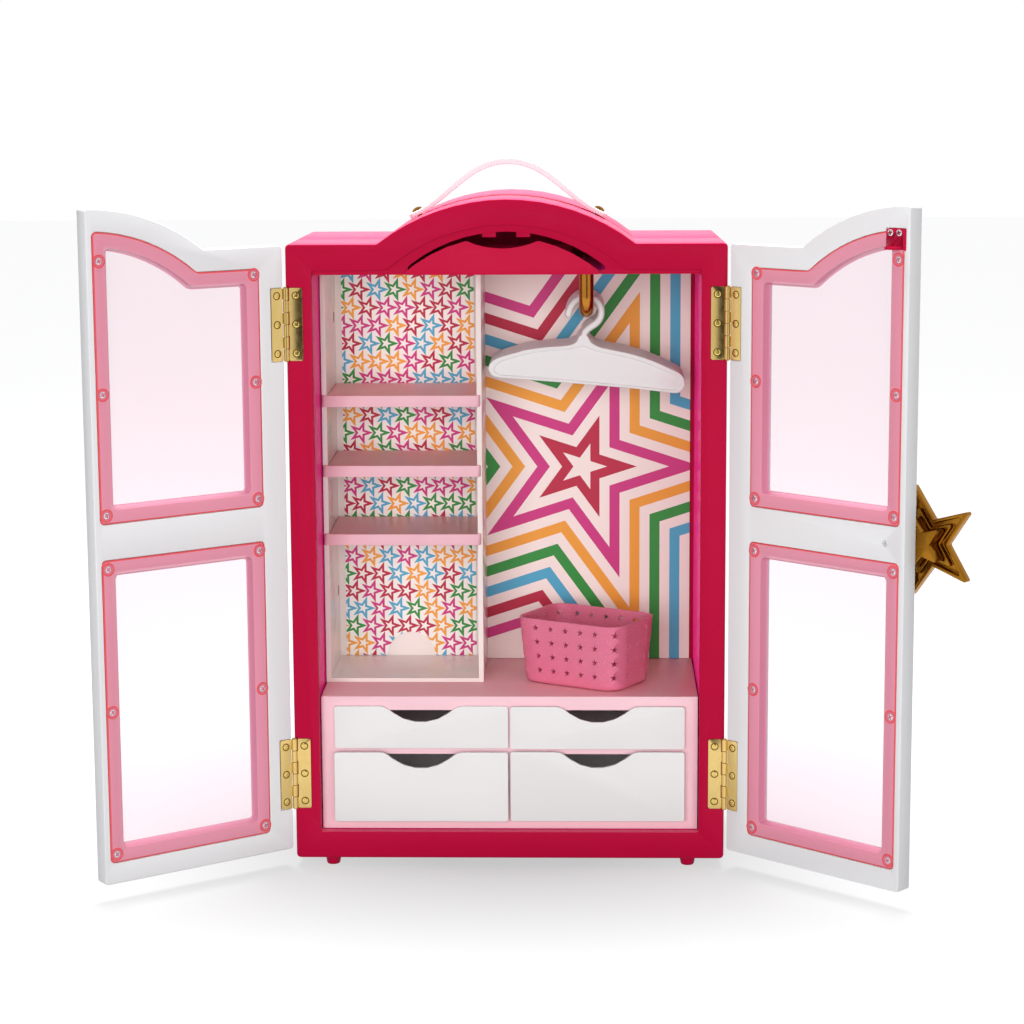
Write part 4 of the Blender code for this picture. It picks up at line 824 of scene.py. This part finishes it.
sink_ring = turned([(SINK_INNER, -SINK_DIP), (SINK_LIP, SINK_RISE), (SINK_OUTER, SINK_RISE),
                    (SINK_OUTER, -SINK_DEPTH), (SINK_INNER, -SINK_DEPTH)])


def barrel_height(index):
    """The middle of a barrel, from the middle of its hinge."""
    return HINGE_HALF * (2 * (index + 0.5) / BARREL_COUNT - 1)


def leaf_plate(first):
    """A leaf with a tooth to each of its own barrels."""
    shape = rounded_box((LEAF_START, -HINGE_HALF), (LEAF_END, HINGE_HALF), LEAF_CORNER)
    corner = len(shape) // 4
    teeth = [(LEAF_START, HINGE_HALF)]
    for index in reversed(range(first, BARREL_COUNT, 2)):
        top, bottom = (barrel_height(index) + end * (barrel_end - TOOTH_EASE) for end in (1, -1))
        teeth += [(LEAF_START, top), (TOOTH, top), (TOOTH, bottom), (LEAF_START, bottom)]
    return plate([shape[:corner] + teeth + [(LEAF_START, -HINGE_HALF)] + shape[-corner:]],
                 -LEAF_THICK, 0, LEAF_SOFT)


for hand, (side, turn) in DOORS.items():
    outer = Matrix.Translation((side * HALF_WIDTH, HINGE_Y, 0))
    front_turn, inner_turn = (
        Matrix(((-side, 0, 0, 0), (0, 0, way, 0), (0, 1, 0, 0), (0, 0, 0, 1)))
        for way in (-1, 1))
    for level, centre in HINGE_CENTRES.items():
        rise = Matrix.Translation((0, 0, centre))
        ends = {"frame": (outer @ Matrix.Translation((0, FRONT - HINGE_Y, 0)) @ rise
                          @ front_turn, "cabinet", 0),
                "door": (door_place(hand) @ Matrix.Translation((0, INNER_FACE, 0)) @ rise
                         @ inner_turn, hand + "_door", 1)}
        label = hand + "_" + level + "_hinge_"
        for end, (leaf_place, body, first) in ends.items():
            parts = [(leaf_plate(first), leaf_place)]
            for index in range(first, BARREL_COUNT, 2):
                parts.append((barrel, outer @ Matrix.Translation(
                    (0, 0, centre + barrel_height(index)))))
            stand_for(label + end + "_leaf", joined(label + end, parts), [brass])
            places = [leaf_place @ Matrix.Translation((LEAF_SCREW_ALONG,
                                                       LEAF_SCREW_RISE * step, 0))
                      for step in (-1, 0, 1)]
            gathered(label + end + "_screws", hinge_screw, places, body,
                     [brass_light, brass_recess_shade])
            # The sunk rings round the screws are wholly in dark brass, as painted shade in the
            # countersinks.
            gathered(label + end + "_sinks", sink_ring, places, body, [brass_recess_shade])
        stand_for(label + "pin", joined(label + "pin", [(pin_mesh, outer @ rise)]), [brass])

# Catch of the doors and its screws
CATCH_SCREWS, CATCH_SCREW_HEIGHT = (0.1485, 0.1413), 0.4697
dressed("door_catch", tray_finish, 0.0005, 3)
catch_screw = screw_head(radius=0.0023, rise=0.0004, turn=0.3, skirt=0.0004)
gathered("catch_screws", catch_screw,
         [on_door("right", along, -HEAD_PROUD, CATCH_SCREW_HEIGHT) @ FACE_UP
          for along in CATCH_SCREWS],
         "right_door", [steel, steel_recess_shade])

# Screw of the star latch, sunk in the door
LATCH_ALONG, LATCH_SUNK = 0.1411, 0.0012
LATCH_HEAD, LATCH_HEAD_DEPTH, LATCH_SHANK, LATCH_DEPTH = 0.0021, 0.002, 0.0013, 0.018
LATCH_CROSS, LATCH_TURN = (0.0007, 0.0026, 0.001, -0.0008), 0.4
latch_low, latch_high = (Vector(corner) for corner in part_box("latch_screw"))
latch_place = on_door("right", LATCH_ALONG, LATCH_SUNK,
                      (latch_low.z + latch_high.z) / 2) @ FACE_UP
latch_mesh = carved(turned([(0, 0), (LATCH_HEAD, 0), (LATCH_HEAD, -LATCH_HEAD_DEPTH),
                            (LATCH_SHANK, -LATCH_HEAD_DEPTH), (LATCH_SHANK, -LATCH_DEPTH),
                            (0, -LATCH_DEPTH)]),
                    *cross_bars(*LATCH_CROSS, LATCH_TURN))
stand_for("latch_screw", joined("latch_screw", [(latch_mesh, latch_place)]), [steel])

# Rod: a smooth bent tube
ROD_X, ROD_Y, ROD_Z = 0.0576, -0.03125, 0.4039
ROD_RADIUS, ROD_BEND, ROD_STEPS = 0.00535, 0.012, 16
ROD_TOP, ROD_REAR = 0.4365, 0.06845
route = [(ROD_X, ROD_Y, ROD_TOP)]
for step in range(ROD_STEPS + 1):
    angle = math.pi + math.pi / 2 * step / ROD_STEPS
    route.append((ROD_X, ROD_Y + ROD_BEND + ROD_BEND * math.cos(angle),
                  ROD_Z + ROD_BEND + ROD_BEND * math.sin(angle)))
route.append((ROD_X, ROD_REAR, ROD_Z))
stand_for("clothes_rod", tube(route, ROD_RADIUS, 7), [rod_finish])

# Hangers: a plate with a raised rim and a round hook, in millimetres (x, z)
HANGER_OUTLINE = [
    (52.0, 383.4), (50.0, 379.6), (45.2, 377.4), (39.2, 376.5), (32.4, 376.2), (25.6, 375.6),
    (18.8, 374.8), (11.9, 373.7), (5.1, 371.9), (-1.7, 370.0), (-7.5, 368.1), (-12.0, 365.8),
    (-14.8, 362.6), (-15.5, 359.1), (-13.6, 355.3), (-10.4, 353.4), (-6.4, 352.7), (5.0, 351.9),
    (27.8, 350.1), (50.6, 348.2), (73.3, 346.2), (96.1, 344.1), (118.9, 341.4), (124.2, 340.9),
    (128.2, 342.3), (130.5, 345.6), (130.8, 349.1), (129.6, 353.1), (126.2, 356.3),
    (118.8, 360.0), (107.4, 365.1), (96.1, 369.1), (84.7, 372.0), (73.3, 374.3), (66.0, 376.3),
    (61.0, 379.4), (58.6, 383.6), (55.4, 385.6)]
HANGER_PANEL = [
    (55.2, 375.6), (43.8, 373.6), (30.1, 372.7), (18.8, 371.4), (7.4, 368.8), (-1.8, 366.1),
    (-7.6, 363.4), (-10.6, 360.3), (-10.4, 357.3), (-6.4, 355.2), (5.0, 354.3), (27.8, 352.6),
    (50.6, 350.6), (73.3, 348.5), (96.1, 346.3), (122.0, 343.5), (126.2, 345.9), (127.7, 349.1),
    (125.6, 352.3), (118.8, 355.9), (107.4, 361.0), (96.1, 365.1), (84.7, 368.1), (73.3, 370.5),
    (65.4, 372.2), (60.2, 374.0)]
HANGER_HOOK = [
    (44.2, 399.8), (45.0, 402.9), (46.9, 406.7), (50.0, 409.9), (53.8, 412.0), (58.2, 412.4),
    (62.6, 411.1), (66.2, 408.1), (68.2, 404.1), (68.4, 399.7), (67.0, 395.8), (64.2, 392.7),
    (60.4, 390.2), (57.3, 387.6), (55.8, 384.6), (55.3, 380.5), (55.3, 376.5)]
HANGER_HALF, HOOK_RADIUS = 0.0025, 0.0026
HANGER_COUNT, HANGER_FIRST, HANGER_PITCH = 6, -0.00925, 0.01
RIM_SOFT, WEB_SUNK, WEB_SOFT, WEB_INSET = 0.0009, 0.0012, 0.0003, 0.0007
TIP_STEPS, TIP_SIDES = 12, 16
outline, panel, hook = ([(x / 1000, z / 1000) for x, z in points]
                        for points in (HANGER_OUTLINE, HANGER_PANEL, HANGER_HOOK))
outline, panel = smoothed(outline), smoothed(panel)
rim = plate([outline, panel], -HANGER_HALF, HANGER_HALF, RIM_SOFT)
web = plate([outline], WEB_SUNK - HANGER_HALF, HANGER_HALF - WEB_SUNK, WEB_SOFT, WEB_INSET)
hook_mesh = tube([(*point, 0) for point in smoothed(hook, False)], HOOK_RADIUS)
tip = turned([(HOOK_RADIUS * math.sin(math.pi * step / TIP_STEPS),
               HOOK_RADIUS * math.cos(math.pi * step / TIP_STEPS))
              for step in range(TIP_STEPS + 1)], TIP_SIDES)
tip.transform(Matrix.Translation((*hook[0], 0)))
for index in range(HANGER_COUNT):
    place = Matrix.Translation((0, HANGER_FIRST + HANGER_PITCH * index, 0)) @ Matrix.Rotation(
        math.pi / 2, 4, "X")
    stand_for("hanger_%d" % (index + 1),
              joined("hanger", [(mesh, place) for mesh in (rim, web, hook_mesh, tip)]),
              [hanger_finish], 60)

# Strap: a thick ribbon with round edges, and its rivets
STRAP_Y, STRAP_HALF, STRAP_THICK = -0.00905, 0.0095, 0.0033
ROOF_RADIUS, STRAP_GAP, STRAP_TOP = 0.1515, 0.0006, 0.5157
STRAP_RADIUS = ROOF_RADIUS + STRAP_GAP + STRAP_THICK / 2
STRAP_END, STRAP_SWELL, STRAP_SOFT = 0.003, 0.0012, 0.0008
STRAP_START, STRAP_LIFT = 0.0722, 0.066  # how far out it begins, and leaves the roof
STRAP_RISE, STRAP_CROWN = 0.0244, 0.030  # how far it keeps to its way there, and on top
FREE_START, FREE_WAY = 0.064, 0.03
STRAP_STEPS = 24
strap_start, strap_lift = (math.asin(reach / STRAP_RADIUS)
                           for reach in (STRAP_START, STRAP_LIFT))
line = []
for step in range(4):
    turn = math.pi / 2 - strap_start + (strap_start - strap_lift) * step / 3
    line.append(Vector((STRAP_RADIUS * math.cos(turn),
                        ARCH_HEIGHT + STRAP_RADIUS * math.sin(turn))))
first, last = line[-1], Vector((0, STRAP_TOP - STRAP_THICK / 2))
second = first + Vector((-math.cos(strap_lift), math.sin(strap_lift))) * STRAP_RISE
third = last + Vector((STRAP_CROWN, 0))
for step in range(1, STRAP_STEPS + 1):
    t = step / STRAP_STEPS
    line.append(first * (1 - t) ** 3 + 3 * second * t * (1 - t) ** 2
                + 3 * third * t * t * (1 - t) + last * t ** 3)
line += [Vector((-point.x, point.y)) for point in reversed(line[:-1])]
bm = bmesh.new()
rings = []
for index, point in enumerate(line):
    ahead = (line[min(index + 1, len(line) - 1)] - line[max(index - 1, 0)]).normalized()
    short = max(0.0, STRAP_END - min((point - line[0]).length, (point - line[-1]).length))
    width = STRAP_HALF - STRAP_END + math.sqrt(STRAP_END ** 2 - short ** 2)
    free = min(1.0, max(0.0, (FREE_START - abs(point.x)) / FREE_WAY))
    rings.append([bm.verts.new((point.x + ahead.y * up, STRAP_Y + across,
                                point.y - ahead.x * up))
                  for across, up in rounded_box(
                      (-width, -STRAP_THICK / 2 - STRAP_SWELL * free),
                      (width, STRAP_THICK / 2), STRAP_SOFT, 3)])
for one, other in zip(rings, rings[1:]):
    loop_faces(bm, one, other)
bm.faces.new(rings[0])
bm.faces.new(rings[-1])
stand_for("handle_strap", finished(bm, "strap"), [strap_finish])
RIVET_ALONG, RIVET_RADIUS, RIVET_RISE = 0.0655, 0.004, 0.0024
RIVET_SHANK, RIVET_DEPTH, DOME_STEPS = 0.002, 0.0064, 8
dome = [(RIVET_RADIUS * math.sin(math.pi / 2 * step / DOME_STEPS),
         RIVET_RISE * math.cos(math.pi / 2 * step / DOME_STEPS))
        for step in range(DOME_STEPS + 1)]
rivet_mesh = turned(dome + [(RIVET_SHANK, 0), (RIVET_SHANK, -RIVET_DEPTH), (0, -RIVET_DEPTH)])
for hand, (side, _) in DOORS.items():
    normal = Vector((side * RIVET_ALONG, 0,
                     math.sqrt(ROOF_RADIUS ** 2 - RIVET_ALONG ** 2))).normalized()
    seat = Vector((0, STRAP_Y, ARCH_HEIGHT)) + normal * (ROOF_RADIUS + STRAP_THICK + STRAP_GAP)
    upright = Vector((0, 0, 1)).rotation_difference(normal).to_matrix().to_4x4()
    stand_for("rivet_" + hand,
              joined("rivet", [(rivet_mesh, Matrix.Translation(seat) @ upright)]), [gold])

# Basket: a flared tub whose walls have rows of star-shaped holes
BASKET_AT, BASKET_TURN = (0.0571, -0.00845, 0.1216), math.radians(-30)
BASKET_HEIGHT, BASKET_WALL, ROUND_BOTTOM = 0.0502, 0.0018, 0.003
RIM_SIZE, BASE_SIZE, CORNER = (0.090, 0.0645), (0.083, 0.056), 0.0125
STAR_ROWS, STAR_PITCH, STAR_FIRST, STAR_HOLE, STAR_DIP = 4, 0.0109, 0.0108, 0.0029, 0.42
CELLS = (5, 1, 3, 1) * 2
CELL_LENGTHS = (0.0132, 0.0185, 0.0135, 0.0185) * 2
CELL_STEPS = 5
LIP_SOFT = 0.0006
OUTSIDE_ROWS = (0.003, 0.0018, 0.0009, 0.0003, 0.0)
INSIDE_ROWS = (0.0035, 0.0022)
whole_way = sum(count * length for count, length in zip(CELLS, CELL_LENGTHS))
shares = [count * length / whole_way for count, length in zip(CELLS, CELL_LENGTHS)]


def basket_point(share, height, inward):
    """A point of the wall by its share of the way round, from the end of a long side."""
    up = height / BASKET_HEIGHT
    tuck = max(0.0, ROUND_BOTTOM - height)
    tuck = inward + ROUND_BOTTOM - math.sqrt(ROUND_BOTTOM ** 2 - tuck ** 2)
    corner = CORNER - inward
    runs = [base + (rim - base) * up - 2 * tuck - 2 * corner
            for base, rim in zip(BASE_SIZE, RIM_SIZE)]
    way = share % 1.0
    index = 0
    while way > shares[index] + 1e-9:
        way -= shares[index]
        index += 1
    way /= shares[index]
    side = index // 2
    facing = math.radians(-90 + 90 * side)
    out = Vector((math.cos(facing), math.sin(facing)))
    across = Vector((-out.y, out.x))
    run, reach = runs[side % 2], runs[1 - side % 2] / 2
    if index % 2 == 0:
        spot = out * (reach + corner) + across * (run * (way - 0.5))
    else:
        turn = facing + math.pi / 2 * way
        spot = out * reach + across * run / 2 + corner * Vector((math.cos(turn),
                                                                 math.sin(turn)))
    return (spot.x, spot.y, height)


def star_points():
    """A five-pointed star as 20 points: tips, dips and the middles between them."""
    tip_at = Vector((STAR_HOLE, 0))
    dip_at = STAR_DIP * STAR_HOLE * Vector((math.cos(math.pi / 5), math.sin(math.pi / 5)))
    middle = (tip_at + dip_at) / 2
    lean = math.atan2(middle.y, middle.x)
    out = []
    for point in range(5):
        tip_turn = math.pi / 2 + 2 * math.pi * point / 5
        for turn, reach in ((0, STAR_HOLE), (lean, middle.length), (math.pi / 5, dip_at.length),
                            (2 * math.pi / 5 - lean, middle.length)):
            out.append((reach * math.cos(tip_turn + turn), reach * math.sin(tip_turn + turn)))
    return out


bm = bmesh.new()
placed = {}


def wall_vertex(share, height, inward):
    """The one vertex of the wall at a place, made when it is first asked for."""
    key = (round(share, 6) % 1.0, round(height, 6), inward)
    if key not in placed:
        placed[key] = bm.verts.new(basket_point(share, height, inward))
    return placed[key]


marks = [0.0]
for count, length in zip(CELLS, CELL_LENGTHS):
    for index in range(count):
        marks.append(marks[-1] + length / whole_way)
row_marks = [STAR_FIRST + STAR_PITCH * (row - 0.5) for row in range(STAR_ROWS + 1)]
for low_mark, high_mark in zip(marks, marks[1:]):
    middle = (low_mark + high_mark) / 2
    for bottom, top in zip(row_marks, row_marks[1:]):
        centre = (bottom + top) / 2
        corners = ((high_mark, bottom), (high_mark, top), (low_mark, top), (low_mark, bottom))
        border = []
        for one, other in zip(corners, corners[1:] + corners[:1]):
            for step in range(CELL_STEPS):
                border.append(tuple(a + (b - a) * step / CELL_STEPS
                                    for a, b in zip(one, other)))
        hole = [(middle + x / whole_way, centre + z) for x, z in star_points()]
        start_turn = math.atan2(bottom - centre, (high_mark - middle) * whole_way)
        turns = [(math.atan2(z - centre, (share - middle) * whole_way) - start_turn)
                 % (2 * math.pi) for share, z in hole]
        start = turns.index(min(turns))
        hole = hole[start:] + hole[:start]
        edges = []
        for inward in (0.0, BASKET_WALL):
            edges.append([bm.verts.new(basket_point(share, z, inward)) for share, z in hole])
            loop_faces(bm, [wall_vertex(share, z, inward) for share, z in border], edges[-1])
        loop_faces(bm, *edges)
columns = [low + (high - low) * step / CELL_STEPS for low, high in zip(marks, marks[1:])
           for step in range(CELL_STEPS)]


def band(heights, inward):
    """Plain rows of the wall between some heights; gives its last ring."""
    rows = [[wall_vertex(share, height, inward) for share in columns] for height in heights]
    for one, other in zip(rows, rows[1:]):
        loop_faces(bm, one, other)
    return rows[-1]


lip = [band([row_marks[-1], BASKET_HEIGHT - LIP_SOFT], 0.0)]
for share in (0.3, 0.7):
    lip.append([bm.verts.new(basket_point(column, BASKET_HEIGHT, BASKET_WALL * share))
                for column in columns])
lip.append(band([row_marks[-1], BASKET_HEIGHT - LIP_SOFT], BASKET_WALL))
for one, other in zip(lip, lip[1:]):
    loop_faces(bm, one, other)
bm.faces.new(band([row_marks[0], *OUTSIDE_ROWS], 0.0))
bm.faces.new(band([row_marks[0], *INSIDE_ROWS], BASKET_WALL))
basket_mesh = finished(bm, "basket")
basket_mesh.transform(Matrix.Translation(BASKET_AT) @ Matrix.Rotation(BASKET_TURN, 4, "Z"))
stand_for("basket", basket_mesh, [basket_finish], 50)

# Floor and world: white to the camera and in mirrors and glass, plain to everything else
FLOOR_FRONT, FLOOR_REACH = -1.3, 8.0
GLOW_START, GLOW_END = 0.08, 0.42  # how far from the part its floor turns to white
# Near the part the floor's glow is held low, which paints a soft grey shade round the part on top
# of the real shadows that the lamps cast.
GLOW_LOW, GLOW_HIGH = 0.53, 0.9
ROOM_LIGHT = 0.32
MIRROR_MIDDLE, MIRROR_EDGES, MIRROR_LEVELS = 0.12, (0.13, 0.21), (0.03, 0.9)
floor_mesh = bpy.data.meshes.new("floor")
floor_mesh.from_pydata([(-FLOOR_REACH, FLOOR_FRONT, FLOOR), (FLOOR_REACH, FLOOR_FRONT, FLOOR),
                        (FLOOR_REACH, FLOOR_REACH, FLOOR), (-FLOOR_REACH, FLOOR_REACH, FLOOR)],
                       [], [(0, 1, 2, 3)])
floor = added("floor", floor_mesh)
FLOOR_GREY = linear(124, 125, 127)
ground = Finish("ground", FLOOR_GREY, 0.9, 0.0)
ground.vary(FLOOR_GREY, linear(122, 123, 125), 2.0)
rays = ground.node("LightPath").outputs
seen = ground.math("MAXIMUM", rays["Is Camera Ray"],
                   ground.math("MAXIMUM", rays["Is Glossy Ray"], rays["Is Transmission Ray"]))
away = ground.node("VectorMath", {0: ground.position()}, operation="LENGTH").outputs["Value"]
glow_with_painted_shade = ground.spread(away, GLOW_START, GLOW_END, GLOW_LOW, GLOW_HIGH)
ground.put("Emission Color", (1, 1, 1, 1))
ground.put("Emission Strength", ground.math("MULTIPLY", seen, glow_with_painted_shade))
floor_mesh.materials.append(ground.made)

world = bpy.data.worlds.new("studio")
scene.world = world
world.use_nodes = True
sky = world.node_tree


def sky_node(kind, inputs, **settings):
    """A node of the world, as its first output."""
    return tree_node(sky, kind, inputs, **settings).outputs[0]


back = sky.nodes["Background"]
path = tree_node(sky, "LightPath").outputs
heading = tree_node(sky, "TexCoord").outputs["Generated"]
heading = tree_node(sky, "SeparateXYZ", {0: heading}).outputs
behind = sky_node("MapRange", {"Value": heading["Y"], "From Min": -0.3, "From Max": 0.3})
aside = sky_node("Math", {0: heading["X"], 1: MIRROR_MIDDLE}, operation="SUBTRACT")
aside = sky_node("Math", {0: aside}, operation="ABSOLUTE")
sideways = sky_node("MapRange", {
    "Value": aside, "From Min": MIRROR_EDGES[0], "From Max": MIRROR_EDGES[1],
    "To Min": MIRROR_LEVELS[0], "To Max": MIRROR_LEVELS[1]})
mirrored = sky_node("Math", {0: behind, 1: sideways}, operation="MAXIMUM")
straight = sky_node("Math", {0: path["Is Camera Ray"], 1: path["Is Transmission Ray"]},
                    operation="MAXIMUM")
level = sky_node("MapRange", {"Value": straight, "To Min": ROOM_LIGHT})
strength = sky_node("Mix", {"Factor": path["Is Glossy Ray"], 2: level, 3: mirrored})
back.inputs["Color"].default_value = (1, 1, 1, 1)
sky.links.new(strength, back.inputs["Strength"])


def lamp(name, place, aim, size, power):
    """A soft lamp, kept out of mirror images."""
    data = bpy.data.lights.new(name, "AREA")
    data.shape = "RECTANGLE"
    data.size, data.size_y = size
    data.energy = power
    made = added(name, data)
    made.location = place
    made.rotation_euler = (Vector(aim) - Vector(place)).to_track_quat("-Z", "Y").to_euler()
    made.visible_glossy = False


# Lamps
lamp("key", (-0.45, -2.6, 0.6), (0, 0, 0.2), (1.4, 1.2), 36.0)
lamp("fill", (0.8, -2.6, 0.4), (0, 0, 0.2), (1.4, 1.0), 16.5)
lamp("top", (0.0, 0.35, 1.9), (0, 0.05, 0.45), (1.2, 0.8), 52.0)

# Camera, as fitted to the photo
FOCAL_PIXELS, PHOTO_PIXELS, SENSOR = 2696.3, 1024, 36.0
CAMERA_AT = (0.0614, -2.00725, 0.5899)
PITCH, YAW, ROLL = (math.radians(turn) for turn in (9.62, -1.72, -0.34))
forward = Vector((math.sin(YAW) * math.cos(PITCH), math.cos(YAW) * math.cos(PITCH),
                  -math.sin(PITCH)))
right = Vector((math.cos(YAW), -math.sin(YAW), 0))
above = right.cross(forward)
across_view = right * math.cos(ROLL) + above * math.sin(ROLL)
up_view = above * math.cos(ROLL) - right * math.sin(ROLL)
camera_data = bpy.data.cameras.new("camera")
camera_data.sensor_width = SENSOR
camera_data.lens = FOCAL_PIXELS * SENSOR / PHOTO_PIXELS
camera_data.clip_end = 50.0
camera = added("camera", camera_data)
turned_view = Matrix((across_view, up_view, -forward)).transposed().to_4x4()
camera.matrix_world = Matrix.Translation(CAMERA_AT) @ turned_view
scene.camera = camera
